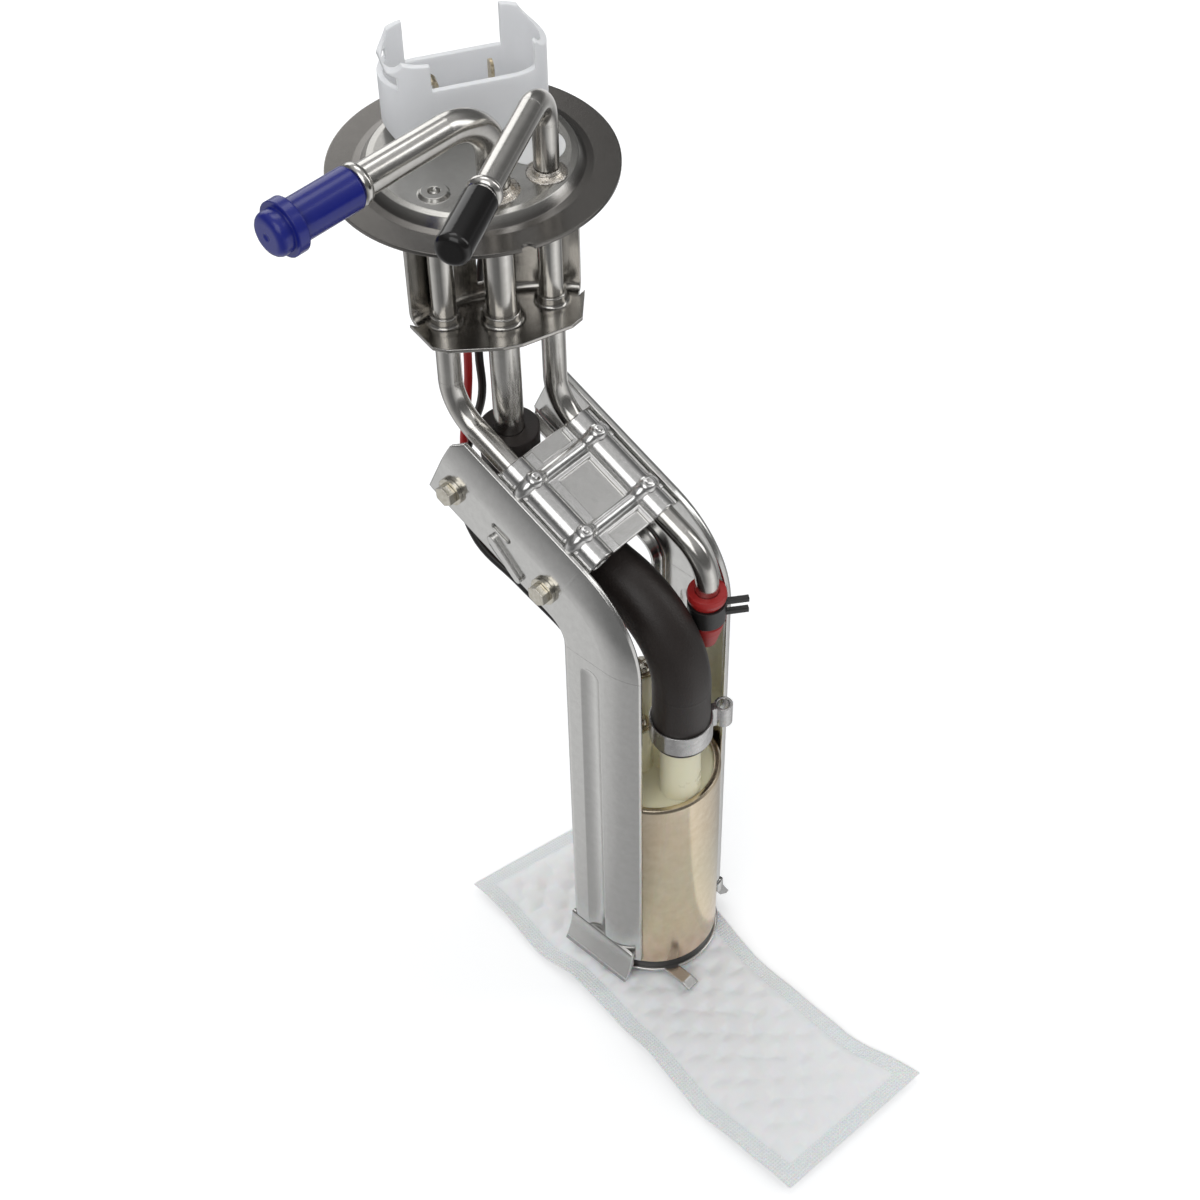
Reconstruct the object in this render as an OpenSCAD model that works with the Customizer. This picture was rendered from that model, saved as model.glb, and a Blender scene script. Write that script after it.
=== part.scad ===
// Fuel pump module that hangs in a tank from a round flange.
// Origin: centre of the flange's seat. +Z is up out of the tank, -Y is the side the pump steps out to.
// "Slant" is the sloping middle of the hanger: s runs down along it and n stands square to it.

/* [Flange] */
// Outer diameter of the flange
flange_d = 72; // [68:1:80]
// Thickness of the flange sheet
flange_t = 1; // [0.8:0.1:1.4]
// Height of the pressed plateau's top over the seat
plateau_top = 4; // [3.5:0.5:6]
// Diameter of the plateau at its foot
plateau_d = 56; // [55:1:60]

/* [Tubes] */
// Outer diameter of the feed tube
feed_od = 8; // [7.4:0.1:8.4]
// Outer diameter of the return tube and the support tube
side_od = 6.35; // [5.6:0.05:6.6]
// Wall of the tubes
tube_wall = 0.9; // [0.7:0.1:1.2]
// Height of the outlet arms over the seat
arm_z = 28; // [26:1:34]
// Reach of the feed arm from the flange's centre to its open end
feed_reach = 70; // [62:1:80]
// Length of the return arm from its bend to its open end
return_reach = 61; // [54:1:70]
// Bend radius of the feed arm
feed_bend = 14; // [12:1:16]
// Bend radius of the return arm
return_bend = 9; // [8:0.5:11]
// Bend radius of the tubes under the flange
lower_bend = 14; // [12:1:16]

/* [Spacer bracket] */
// Depth of the spacer plate under the seat
spacer_z = -35; // [-42:1:-30]
// Sheet thickness of the spacer bracket
spacer_t = 1; // [0.8:0.1:1.4]

/* [Hanger] */
// Angle of the sloping part from the vertical
slant = 66; // [64:1:68]
// Depth of the support tube's knee
knee_z = -63.3; // [-66:0.5:-61]
// Sheet thickness of the arms, the bracket and the saddle
sheet = 1; // [0.8:0.1:1.1]
// Width of an arm from its front edge to its rear lip
arm_w = 25.4; // [24:0.2:27]

/* [Pump] */
// Outer diameter of the pump can
can_d = 38; // [36.5:0.5:38.5]
// Length of the pump can
can_len = 75.4; // [73:0.2:82]
// Outer diameter of the delivery hose
hose_od = 16; // [14:0.5:17]

/* [Strainer] */
// Length of the strainer sock's front part, from the pump to its far end
sock_reach = 92; // [80:1:100]
// Thickness of the sock's filled middle
sock_t = 4.6; // [4:0.2:7]

/* [Hidden] */
$fn = 48;
// Overrun of a cut past a face
eps = 0.01;
// Clearance of pieces pushed on or pressed together
fit = 0.05;
// Clearance of pieces that slide or turn
run = 0.08;
// Clearance between faces that must not touch
gap = 0.3;
// Where a straight meets a bend: the lap's length and how far it stands proud
tuck = 0.2;
proud = 0.02;

// Tubes: radii and where each one stands
feed_r = feed_od / 2;
side_r = side_od / 2;
feed_at = [-7.3, -14.7];
return_at = [6, -19.1];
support_at = [-17.6, -4.9];
tube_line = atan2(return_at.y - support_at.y, return_at.x - support_at.x);
line_mid = (return_at + support_at) / 2;

// The slant's own directions and the height of the tubes' middle plane on it
s_dir = [0, -sin(slant), -cos(slant)];
n_dir = [0, -cos(slant), sin(slant)];
tube_n = -cos(slant) * support_at.y + sin(slant) * knee_z;
function slant_z(y, n) = (n + cos(slant) * y) / sin(slant);
function on_plane(x, s, n) = [x, 0, 0] + s * s_dir + n * n_dir;

// Pump axis, top and bottom
pump_at = [-6, -64.7];
can_r = can_d / 2;
can_wall = 1;
bore_r = can_r - can_wall;
can_top = -171.2;
can_bottom = can_top - can_len;
outlet_at = [pump_at.x - 1.3, pump_at.y - 10.8];
inlet_at = [pump_at.x, pump_at.y + 6.5];
inlet_r = 4.6;

// Arms: outer faces stand off the can by the sheet and a clearance
hug_r = can_r + fit + 0.15 + sheet;
hug_angle = 30;
hug_depth = hug_r * sin(hug_angle);
front_y = pump_at.y - hug_depth;
left_front_n = tube_n + 0.2;
right_front_n = tube_n + 2.2;
knee_r = 33;
arm_top_s = 38;
foot_flare = 3;
foot_len = 6;
front_lip = 2.6;
front_lip_r = 1.6;

// A saddle half: sleeve length along s, and the pads between and beside the tubes
saddle_s = [53, 87];
web_s = [52.2, 86.8];
rib_s = [60, 79];
rib_r = 2.1;
window_x = [-10.6, 1.2];
window_s = [63.4, 77.4];

// Stack inside the pump, from the top down
cap_z = can_top - 1.8;
cap_len = 12;
comm_z = cap_z - cap_len - 3.4;
core_z = comm_z - 6.5;
core_len = 30;
impeller_t = 3.6;
cover_t = 6;
chamber_t = 5;
cover_z = can_bottom + 1.2 + cover_t;
impeller_z = cover_z + impeller_t + 2 * run;
shaft_r = 1.6;
isolator_t = 2.6;
cradle_z = can_bottom - isolator_t;
leg_low = cradle_z - sheet - 0.2 + foot_len;
sock_z = cradle_z - sheet - 1.6;

// Frames and small helpers
function unit(v) = v / norm(v);
module oriented(x, y, at) {
    z = cross(x, y);
    multmatrix([[x.x, y.x, z.x, at.x], [x.y, y.y, z.y, at.y], [x.z, y.z, z.z, at.z], [0, 0, 0, 1]]) children();
}
module on_slant(x = 0, s = 0, n = 0) {
    rotate([180 - slant, 0, 0]) translate([x, n, s]) children();
}
module at(p, z = 0) {
    translate([p.x, p.y, z]) children();
}
module ring_2d(outer, inner) {
    difference() {
        circle(outer);
        circle(inner);
    }
}
module tube(outer, inner, len) {
    linear_extrude(len) ring_2d(outer, inner);
}
module disc(r, len, r_top = undef) {
    cylinder(r1 = r, r2 = is_undef(r_top) ? r : r_top, h = len);
}
// Points of an arc about c, from angle a0 to a1
function arc(c, r, a0, a1, steps = 6) = [
    for (i = [0:steps]) let (a = a0 + (a1 - a0) * i / steps) c + r * [cos(a), sin(a)]
];

// A round section carried along corner points, with a bend of its own radius at each inner corner.
// Each leg stands in the frame that the last one ends in, and a hair-thin tuck ring laps each joint.
module route(pts, radii, outer, inner) {
    start = unit(pts[1] - pts[0]);
    side = turn_side(pts, 1);
    oriented(side, cross(start, side), pts[0]) route_leg(pts, radii, outer, inner, 0, 0, side);
}
function turn_side(pts, i) = let (u = unit(pts[i] - pts[i - 1]), v = unit(pts[i + 1] - pts[i])) unit(v - (u * v) * u);
function turn_angle(pts, i) = (i == len(pts) - 1) ? 0 : acos(unit(pts[i] - pts[i - 1]) * unit(pts[i + 1] - pts[i]));
module route_leg(pts, radii, outer, inner, i, used, side) {
    u = unit(pts[i + 1] - pts[i]);
    turn = turn_angle(pts, i + 1);
    r_bend = radii[i + 1];
    cut = r_bend * tan(turn / 2);
    length = norm(pts[i + 1] - pts[i]) - used - cut;
    first = i == 0;
    last = i + 2 == len(pts);
    translate([0, 0, first ? 0 : tuck / 2])
        linear_extrude(length - (first ? 0 : tuck / 2) - (last ? 0 : tuck / 2)) ring_2d(outer, inner);
    if (!first) translate([0, 0, -tuck]) linear_extrude(2.5 * tuck) ring_2d(outer + proud, inner - proud);
    if (!last) translate([0, 0, length - 1.5 * tuck]) linear_extrude(2.5 * tuck) ring_2d(outer + proud, inner - proud);
    if (!last) {
        w = turn_side(pts, i + 1);
        translate([0, 0, length]) rotate([0, 0, atan2(w * cross(u, side), w * side)]) {
            translate([r_bend, 0, 0]) rotate([90, 0, 180])
                rotate_extrude(angle = turn) translate([r_bend, 0]) ring_2d(outer, inner);
            translate([r_bend, 0, 0]) rotate([0, turn, 0]) translate([-r_bend, 0, 0])
                route_leg(pts, radii, outer, inner, i + 1, cut, w * cos(turn) - u * sin(turn));
        }
    }
}

// Flange
module flange_profile(lift) {
    foot = plateau_d / 2;
    top = plateau_top - flange_t;
    bend = 1.4;
    polygon([
        [0, top + lift], [foot - 2.6 - bend, top + lift], [foot - 2.4, top + lift - 0.35],
        [foot - 0.5, lift + 0.35], [foot + bend - 0.1, lift], [flange_d / 2, lift],
        [flange_d / 2, -10], [0, -10]
    ]);
}
module flange_plate() {
    notch_a = 246;
    color("dimgray") difference() {
        union() {
            rotate_extrude($fn = 96) difference() {
                flange_profile(flange_t);
                flange_profile(0);
            }
            at(support_at, plateau_top - 0.4) disc(4.4, 1.2, 3.2);
        }
        at(feed_at, -eps) disc(feed_r + fit, plateau_top + 1);
        at(return_at, -eps) disc(side_r + fit, plateau_top + 1);
        at(support_at, plateau_top + 1.4) sphere(1.7);
        for (side = [-1, 1]) connector_frame() translate([side * 7, 0, -1]) disc(2.2, plateau_top + 4);
        rotate(notch_a) translate([flange_d / 2, 0, -1]) disc(1.6, 4);
    }
}
braze_spread = 1.9;
module label_disc() {
    color("white") difference() {
        translate([11.4, -9.8, plateau_top]) disc(7.6, 0.15);
        at(return_at, plateau_top - 1) disc(side_r + braze_spread + 0.3, 3);
        connector_frame() translate([0, 0, plateau_top - 1])
            linear_extrude(3) stadium(shroud_len + 0.5, shroud_w + 0.5);
    }
}
module braze_ring(r, spread, high) {
    rotate_extrude() polygon(concat(
        [[r + fit, 0]],
        arc([r + spread + fit, high], high, -90, -180, 5),
        [[r + fit, high + 0.3]]
    ));
}
module braze_rings() {
    color("silver") {
        at(feed_at, plateau_top) braze_ring(feed_r, 2.2, 2.2);
        at(return_at, plateau_top) braze_ring(side_r, braze_spread, braze_spread);
    }
}

// Tubes
feed_dir = [cos(178.5), sin(178.5), 0];
return_dir = unit([-0.9, -0.43, 0]);
feed_corner = [feed_at.x, feed_at.y, arm_z];
return_corner = [return_at.x, return_at.y, arm_z];
feed_end = feed_corner + feed_dir * (feed_reach + feed_at.x);
return_end = return_corner + return_dir * return_reach;
feed_bead = feed_reach - 22.5;
return_bead = return_reach - 20;
hose_top = -72;
hose_grip = 7;
boot_y = -72.3;
return_low = slant_z(boot_y, tube_n);
module bead(corner, dir, dist, r) {
    oriented(unit(cross(dir, [0, 0, 1])), [0, 0, 1], corner + dir * dist)
        rotate_extrude() translate([r - 0.35, 0]) difference() {
            circle(1.5, $fn = 24);
            translate([-3, -3]) square([3, 6]);
        }
}
module feed_tube() {
    color("lightgray") {
        route([feed_end, feed_corner, [feed_at.x, feed_at.y, hose_top - hose_grip]],
            [0, feed_bend, 0], feed_r, feed_r - tube_wall);
        bead(feed_corner, feed_dir, feed_bead + feed_at.x, feed_r);
    }
}
module return_tube() {
    color("lightgray") {
        route([
            return_end, return_corner,
            [return_at.x, return_at.y, slant_z(return_at.y, tube_n)],
            [return_at.x, boot_y, return_low],
            [return_at.x, boot_y, return_low - 22]
        ], [0, return_bend, lower_bend, lower_bend, 0], side_r, side_r - tube_wall);
        bead(return_corner, return_dir, return_bead, side_r);
    }
}
module support_tube() {
    color("lightgray") route([
        [support_at.x, support_at.y, plateau_top - flange_t],
        [support_at.x, support_at.y, slant_z(support_at.y, tube_n)],
        on_plane(support_at.x, saddle_s[1] - 1, tube_n)
    ], [0, lower_bend, 0], side_r, side_r - tube_wall);
}

// Spacer bracket under the flange
wall_r = 48;
wall_reach = 8;
wall_span = 27.5;
spacer_half = [[22.6, 1], [22.3, 0], [19.2, -9], [16, -11.2], [2.5, -14.3]];
module in_tube_line() {
    translate([line_mid.x, line_mid.y, 0]) rotate(tube_line) children();
}
module collar(r, spread) {
    rotate_extrude() polygon(concat(
        [[0, -spacer_t], [r + spread, -spacer_t], [r + spread, 0]],
        arc([r + spread, 1.1], 1.1, -90, -180, 4),
        arc([r + spread - 1.6, 2.5], 0.5, 0, 90, 3),
        [[0, 3]]
    ));
}
module spacer_bracket() {
    bend_r = 3.4;
    wall_c = [0, wall_reach - wall_r];
    half = spacer_half;
    outline = concat(
        [for (p = half) p],
        [for (i = [len(half) - 1:-1:0]) [-half[i].x, half[i].y]],
        arc(wall_c, wall_r - bend_r - 0.5, 90 + wall_span, 90 - wall_span, 10)
    );
    color("gray") difference() {
        union() {
            in_tube_line() translate([0, 0, spacer_z - spacer_t]) linear_extrude(spacer_t) polygon(outline);
            in_tube_line() translate([wall_c.x, wall_c.y, 0]) rotate(90 - wall_span)
                rotate_extrude(angle = 2 * wall_span) {
                    translate([wall_r - bend_r, spacer_z + bend_r - spacer_t]) intersection() {
                        ring_2d(bend_r, bend_r - spacer_t);
                        translate([0, -10]) square(10);
                    }
                    translate([wall_r - spacer_t, spacer_z + bend_r - spacer_t])
                        square([spacer_t, plateau_top - spacer_z - bend_r + spacer_t]);
                    translate([wall_r - bend_r - 1, spacer_z - spacer_t]) square([1, spacer_t]);
                }
            at(support_at, spacer_z) collar(side_r, 1.7);
            at(feed_at, spacer_z) collar(feed_r, 2);
            at(return_at, spacer_z) collar(side_r, 1.7);
        }
        for (t = [[support_at, side_r], [feed_at, feed_r], [return_at, side_r]])
            at(t[0], spacer_z - 5) disc(t[1] + fit, 12);
        in_tube_line() translate([-3.5, 0, spacer_z + bend_r]) cube([7, 20, 60]);
        // The wall's top follows the flange's underside
        rotate_extrude($fn = 96) translate([0, -fit]) difference() {
            translate([0, -1]) square([flange_d / 2, 20]);
            flange_profile(0);
        }
    }
}

// Electrical connector on the plateau
shroud_len = 41.6;
shroud_w = 22;
shroud_wall = 1.5;
module connector_frame() {
    translate([9.5, 11.6, 0]) rotate(-30) children();
}
module stadium(len, w) {
    square([len - w, w], center = true);
    for (side = [-1, 1]) translate([side * (len - w) / 2, 0]) circle(w / 2);
}
module connector_shroud() {
    base = plateau_top + fit;
    ear_top = 27;
    front_top = 20;
    back_top = 15.5;
    ear_x = 12.2;
    color("whitesmoke") connector_frame() difference() {
        translate([0, 0, base]) linear_extrude(ear_top - base) stadium(shroud_len, shroud_w);
        translate([0, 0, base + 2.4]) linear_extrude(40) stadium(shroud_len - 2 * shroud_wall, shroud_w - 2 * shroud_wall);
        // Front wall stops lower than the ears, and the back wall lower still
        translate([-ear_x + 2, -20, front_top]) cube([2 * ear_x + 1.4, 20, 40]);
        translate([-ear_x, -1, back_top]) cube([2 * ear_x, 20, 40]);
        // Each ear falls away in a curve towards the end of the shroud
        for (side = [-1, 1]) translate([side * 26, 0, ear_top + 2.5]) rotate([90, 0, 0])
            translate([0, 0, -20]) scale([1.35, 1, 1]) cylinder(r = 7.6, h = 40);
        translate([-40, -30, front_top]) cube([22.5, 60, 3.4]);
        // Undercut where the shroud overhangs the plateau's edge
        translate([23.5, 0, base - 2]) rotate([0, 45, 0]) cube([12, 40, 9], center = true);
        translate([-23.5, 0, base - 3]) rotate([0, -45, 0]) cube([12, 40, 9], center = true);
        for (side = [-1, 1]) translate([side * 7, 0, 0]) cube([0.9 + 2 * fit, 3.4 + 2 * fit, 20], center = true);
        for (side = [-1, 1]) translate([side * 14, 0, base - 1]) disc(1.4, 6);
    }
}
module connector_terminals() {
    color("peru") connector_frame() {
        translate([7, 0, 0]) blade(18.5);
        // The second one is folded over into a hook
        translate([-7, 0, 0]) {
            translate([0, 0, -6]) linear_extrude(21) square([0.9, 3.4], center = true);
            translate([-0.95, 1.7, 15 - eps]) rotate([90, 0, 0]) linear_extrude(3.4) intersection() {
                ring_2d(1.4, 0.5);
                translate([-2, 0]) square([4, 2]);
            }
        }
    }
}
module blade(top) {
    foot = -6;
    translate([0, 0, foot]) linear_extrude(top - foot - 1.7) square([0.9, 3.4], center = true);
    translate([-0.45, 0, top - 1.7 - eps]) rotate([90, 0, 90]) linear_extrude(0.9) intersection() {
        circle(1.7);
        translate([-2, 0]) square([4, 2]);
    }
}
module terminal_seal() {
    color("saddlebrown") connector_frame() for (side = [-1, 1]) translate([side * 7, 0, 0]) difference() {
        translate([0, 0, -0.8]) disc(2.2 - fit, plateau_top + 0.8);
        cube([0.9 + 2 * fit, 3.4 + 2 * fit, 30], center = true);
    }
}

// Transit caps on the two arms
module blue_cap() {
    reach = feed_reach - feed_bead;
    color("mediumblue") oriented(unit(cross(feed_dir, [0, 0, 1])), [0, 0, -1], feed_end) {
        // The bore faces back along the arm, and the closed end is domed
        rotate([180, 0, 0]) difference() {
            rotate_extrude() polygon(concat(
                [[0, -3.2]],
                arc([3.4, -1.2], 2, -90, 0, 5),
                [[5.4, 0.6], [6.75, 0.6], [6.75, 3.4], [5.25, 3.8], [5.25, reach - 1.9], [0, reach - 1.9]]
            ));
            translate([0, 0, -0.4]) disc(feed_r + run, reach + 4);
            translate([0, 0, -4.4]) sphere(1.6);
        }
    }
}
module black_cap() {
    reach = 17;
    wall = 1.1;
    color("black") oriented(unit(cross(return_dir, [0, 0, 1])), [0, 0, -1], return_end)
        rotate([180, 0, 0]) difference() {
            rotate_extrude() polygon(concat(
                [[0, -1.9]],
                arc([side_r + wall - 1.8, -0.1], 1.8, -90, 0, 5),
                [[side_r + wall, reach], [0, reach]]
            ));
            translate([0, 0, -0.4]) disc(side_r + run, reach + 1);
        }
}

// Saddle and rear bracket: two pressed halves that grip the side tubes on the slant
module channel_2d(up) {
    // Half section of a sleeve in x and n, open towards the tube
    r = side_r + fit;
    difference() {
        circle(r + sheet);
        circle(r);
        translate([-10, up > 0 ? -20 : 0]) square([20, 20]);
    }
}
tube_xs = [support_at.x, return_at.x];
module saddle_section(s0, s1) {
    on_slant(0, s0, tube_n) linear_extrude(s1 - s0) children();
}
module saddle_clamp() {
    pad_lift = fit;
    left_x = tube_xs[0] - side_r - fit - sheet - 0.2;
    right_x = tube_xs[1] + side_r + fit + sheet + 0.9;
    color("lightgray") difference() {
        union() {
            saddle_section(saddle_s[0], saddle_s[1]) {
                for (x = tube_xs) translate([x, 0]) channel_2d(1);
            }
            saddle_section(saddle_s[0], saddle_s[1]) {
                translate([left_x, pad_lift]) square([1.4, sheet]);
                translate([tube_xs[0] + side_r + 0.5, pad_lift]) square([window_x[0] - tube_xs[0] - side_r - 0.5, sheet]);
                translate([tube_xs[1] + side_r + 0.5, pad_lift]) square([right_x - tube_xs[1] - side_r - 0.5, sheet]);
                translate([window_x[1] - 0.2, pad_lift]) square([1.4, sheet]);
            }
            saddle_section(rib_s[0] - 3, rib_s[1] + 3)
                translate([tube_xs[0], pad_lift]) square([tube_xs[1] - tube_xs[0], sheet]);
            for (s = rib_s) {
                // Straight bead between the sleeves, and a band over each sleeve
                on_slant(tube_xs[0], s, tube_n + pad_lift + 0.6)
                    rotate([0, 90, 0]) half_bead(tube_xs[1] - tube_xs[0], rib_r);
                for (x = tube_xs) on_slant(x, s, tube_n + pad_lift) half_band(side_r + sheet + 0.2, rib_r);
                for (x = [left_x, right_x - 2])
                    on_slant(x, s - 2.6, tube_n + pad_lift) cube([2, sheet + 0.5, 5.2]);
            }
        }
        for (x = tube_xs) on_slant(x, saddle_s[0] - 2, tube_n) disc(side_r + fit, 40);
        on_slant(window_x[0], window_s[0], tube_n - 1) cube([window_x[1] - window_x[0], 8, window_s[1] - window_s[0]]);
        for (s = rib_s) for (x = tube_xs) on_slant(x, s, tube_n + side_r + sheet + rib_r + 1.5) sphere(2);
    }
}
module half_bead(len, r) {
    difference() {
        cylinder(r = r, h = len);
        translate([-10, -20, -1]) cube([20, 20, len + 2]);
    }
}
module half_band(r, bead) {
    rotate_extrude(angle = 180) translate([r - 1.1, 0]) difference() {
        circle(bead, $fn = 24);
        translate([-10, -5]) square([10, 10]);
    }
}

// Section of an arm in x and depth behind its front edge. The screwed arm hugs the can in front,
// the welded one has a narrow turned-in lip there, and both end in a wider lip behind.
module arm_2d(hug, grow = 0) {
    lip = 4.5;
    lip_r = 2.4;
    front = hug ? hug_depth : front_lip_r;
    if (hug) intersection() {
        translate([hug_r, -hug_depth]) ring_2d(hug_r + grow, hug_r - sheet - grow);
        translate([-1, -hug_depth]) square([hug_r / 2, hug_depth + grow]);
    } else {
        translate([front_lip_r, -front_lip_r]) intersection() {
            ring_2d(front_lip_r + grow, front_lip_r - sheet - grow);
            translate([-10, 0]) square(10);
        }
        translate([front_lip_r, -sheet - grow]) square([front_lip - front_lip_r + grow, sheet + 2 * grow]);
    }
    translate([-grow, -arm_w + lip_r]) square([sheet + 2 * grow, arm_w - lip_r - front]);
    translate([lip_r, -arm_w + lip_r]) intersection() {
        ring_2d(lip_r + grow, lip_r - sheet - grow);
        translate([-10, -10]) square(10);
    }
    translate([lip_r, -arm_w - grow]) square([lip - lip_r + grow, sheet + 2 * grow]);
}
module swap_axes() {
    rotate(90) mirror([0, 1]) children();
}
// The arm section carried down the slant, round the knee and down beside the can, x growing inwards
module arm_run(front_n, s0, hug) {
    corner_z = slant_z(front_y, front_n);
    corner_s = -sin(slant) * front_y - cos(slant) * corner_z;
    cut = knee_r * tan(slant / 2);
    length = corner_s - cut - s0;
    leg_len = corner_z - cut - leg_low;
    on_slant(0, s0, front_n) {
        linear_extrude(length - tuck / 2) arm_2d(hug);
        translate([0, 0, length - 1.5 * tuck]) linear_extrude(2.5 * tuck) arm_2d(hug, proud);
        translate([0, -knee_r, length]) {
            rotate([90, 0, 90]) rotate_extrude(angle = slant) translate([knee_r, 0]) swap_axes() arm_2d(hug);
            rotate([slant, 0, 0]) translate([0, knee_r, 0]) {
                translate([0, 0, tuck / 2]) linear_extrude(leg_len - tuck / 2) arm_2d(hug);
                translate([0, 0, -tuck]) linear_extrude(2.5 * tuck) arm_2d(hug, proud);
                translate([0, 0, leg_len]) foot();
            }
        }
    }
}
module foot() {
    // Plain flared end of the flat, turned out past the can
    translate([0, -arm_w + 0.4, 0]) rotate([90, 0, 0]) mirror([0, 0, 1]) linear_extrude(arm_w - 2)
        polygon([[0, 0], [sheet, 0], [sheet, 0.6], [sheet - foot_flare, foot_len], [-foot_flare, foot_len]]);
}
// Long round-bottomed groove pressed into the flat of a leg
groove_top = -122;
groove_at = [-5.3, pump_at.y + 5];
groove_r = 6.3;
module groove_rod(r, low_z) {
    at(groove_at, low_z) disc(r, groove_top - low_z);
    at(groove_at, groove_top) sphere(r);
}
module arm_body(front_n, hug) {
    difference() {
        union() {
            arm_run(front_n, arm_top_s, hug);
            intersection() {
                groove_rod(groove_r + 0.6, leg_low);
                translate([0.2, groove_at.y - 8, leg_low]) cube([4, 16, 200]);
            }
        }
        groove_rod(groove_r, leg_low - 10);
        // Front and rear corners of the upper end are cut back
        on_slant(-5, arm_top_s - 1, front_n - 4.5) rotate([40, 0, 0]) translate([0, 0, -8]) cube([20, 20, 8]);
        on_slant(-5, arm_top_s - 1, front_n - arm_w - 1) rotate([-60, 0, 0]) translate([0, -9, -9]) cube([20, 12, 12]);
    }
}
arm_x = pump_at.x - hug_r;
right_x0 = pump_at.x + hug_r;
screw_s = [44.7, 80.6];
screw_n = tube_n - 16;
screw_r = 1.9;
module left_arm() {
    hook_s = 62.4;
    hook_n = tube_n - 12.7;
    color("gainsboro") translate([arm_x, 0, 0]) difference() {
        union() {
            arm_body(left_front_n, true);
            // Lanced hook, raised over its own slot
            on_slant(0.4, 67, tube_n - 19.6) rotate([20, 0, 0]) rotate([0, -90, 0]) linear_extrude(1.5) stadium(15, 2.6);
        }
        for (s = screw_s) on_slant(-2, s, screw_n) rotate([0, 90, 0]) disc(screw_r + fit, 6);
        on_slant(-2, hook_s, hook_n) rotate([0, 90, 0]) linear_extrude(6) stadium(7, 2.4);
        on_slant(-2, 67, tube_n - 22.4) rotate([20, 0, 0]) rotate([0, 90, 0]) linear_extrude(6) stadium(13, 1.7);
    }
}
module rear_bracket() {
    wing_x = arm_x + sheet + fit;
    wing_r = hug_r - sheet - fit;
    web_t = sheet;
    color("silver") difference() {
        union() {
            translate([right_x0, 0, 0]) mirror([1, 0, 0]) arm_body(right_front_n, false);
            // Web: pad between the tubes and a channel behind each tube
            saddle_section(web_s[0], web_s[1]) {
                translate([tube_xs[0] + side_r + 0.5, -web_t]) square([tube_xs[1] - tube_xs[0] - 2 * side_r - 1, web_t]);
                translate([tube_xs[1] + side_r + 0.5, -web_t])
                    square([right_x0 - 0.9 * sheet - tube_xs[1] - side_r - 0.5, web_t]);
                translate([tube_xs[0] - side_r - 1.2, -web_t]) square([1, web_t]);
                for (x = tube_xs) translate([x, 0]) channel_2d(-1);
            }
            // Wing that the left arm is screwed to
            on_slant(wing_x, arm_top_s + 4, left_front_n) linear_extrude(web_s[1] + 4 - arm_top_s) {
                intersection() {
                    translate([wing_r, -hug_depth]) ring_2d(wing_r, wing_r - sheet);
                    translate([0, -hug_depth]) square([8, hug_depth - 0.6]);
                }
                translate([0, -arm_w + 4]) square([sheet, arm_w - 4 - hug_depth]);
            }
        }
        for (x = tube_xs) on_slant(x, web_s[0] - 20, tube_n) disc(side_r + fit, 80);
        for (s = screw_s) on_slant(arm_x - 2, s, screw_n) rotate([0, 90, 0]) disc(screw_r + fit, 8);
        // The wing's curved edge is cut back where the web doesn't carry it
        on_slant(wing_x - 0.5, arm_top_s + 3, left_front_n - hug_depth + 1) cube([8, 20, web_s[0] - arm_top_s - 3]);
        on_slant(wing_x - 0.5, web_s[1], left_front_n - hug_depth + 1) cube([8, 20, 8]);
    }
}
module hex_head(r, h) {
    cylinder(r = r, h = h, $fn = 6);
}
module arm_screws() {
    head = 2.4;
    color("silver") for (s = screw_s) on_slant(arm_x - 1.1, s, screw_n) rotate([0, 90, 0]) {
        mirror([0, 0, 1]) hex_head(3, head);
        disc(screw_r, 6.4);
    }
}
module arm_washers() {
    color("lightgray") for (s = screw_s) {
        on_slant(arm_x - 1.05, s, screw_n) rotate([0, 90, 0]) tube(4, screw_r + fit, 1);
        on_slant(arm_x + 2 * sheet + 2 * fit, s, screw_n) rotate([0, 90, 0]) difference() {
            hex_head(3.4, 2.2);
            translate([0, 0, -1]) disc(screw_r + fit, 5);
        }
    }
}

// Delivery hose from the feed tube to the pump's outlet
hose_end = can_top + 21;
hose_corner_z = -94.3;
hose_low_z = -106.5;
barb_z = hose_end + 14;
module pump_hose() {
    x = feed_at.x;
    color([0.1, 0.1, 0.1]) route([
        [x, feed_at.y, hose_top], [x, feed_at.y, hose_corner_z],
        [x, outlet_at.y, hose_low_z], [x, outlet_at.y, hose_end]
    ], [0, 18, 27, 0], hose_od / 2, feed_r + fit);
}
module hose_clamp() {
    r = hose_od / 2 + fit;
    color("silver") translate([feed_at.x, outlet_at.y, hose_end + 1.6]) difference() {
        union() {
            tube(r + 0.7, r, 7);
            // Pinched ear
            rotate(-28) translate([r + 0.3, -2.2, 0]) linear_extrude(7) difference() {
                union() {
                    translate([0, 1]) square([2.6, 2.4]);
                    translate([4, 2.2]) circle(2.6);
                }
                translate([4, 2.2]) circle(1.8);
            }
        }
        translate([0, 0, -1]) disc(r, 9);
    }
}
boot_z = return_low - 13;
boot_r = side_r + 1.2;
module return_boot() {
    color("firebrick") translate([return_at.x, boot_y, boot_z]) difference() {
        rotate_extrude() polygon([
            [0, 2], [boot_r + 0.8, 2], [boot_r + 1.1, 0.6], [boot_r + 0.8, -0.8], [boot_r, -1.6], [boot_r, -9],
            [boot_r + 0.5, -9.6], [boot_r + 0.1, -12], [boot_r - 1.4, -17.5], [0, -17.5]
        ]);
        translate([0, 0, -9.2]) disc(side_r + fit, 14);
        translate([0, 0, -20]) disc(1.8, 14);
        translate([-10, -12, -21.5]) rotate([38, 0, 0]) cube([20, 9, 9]);
    }
}
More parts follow.
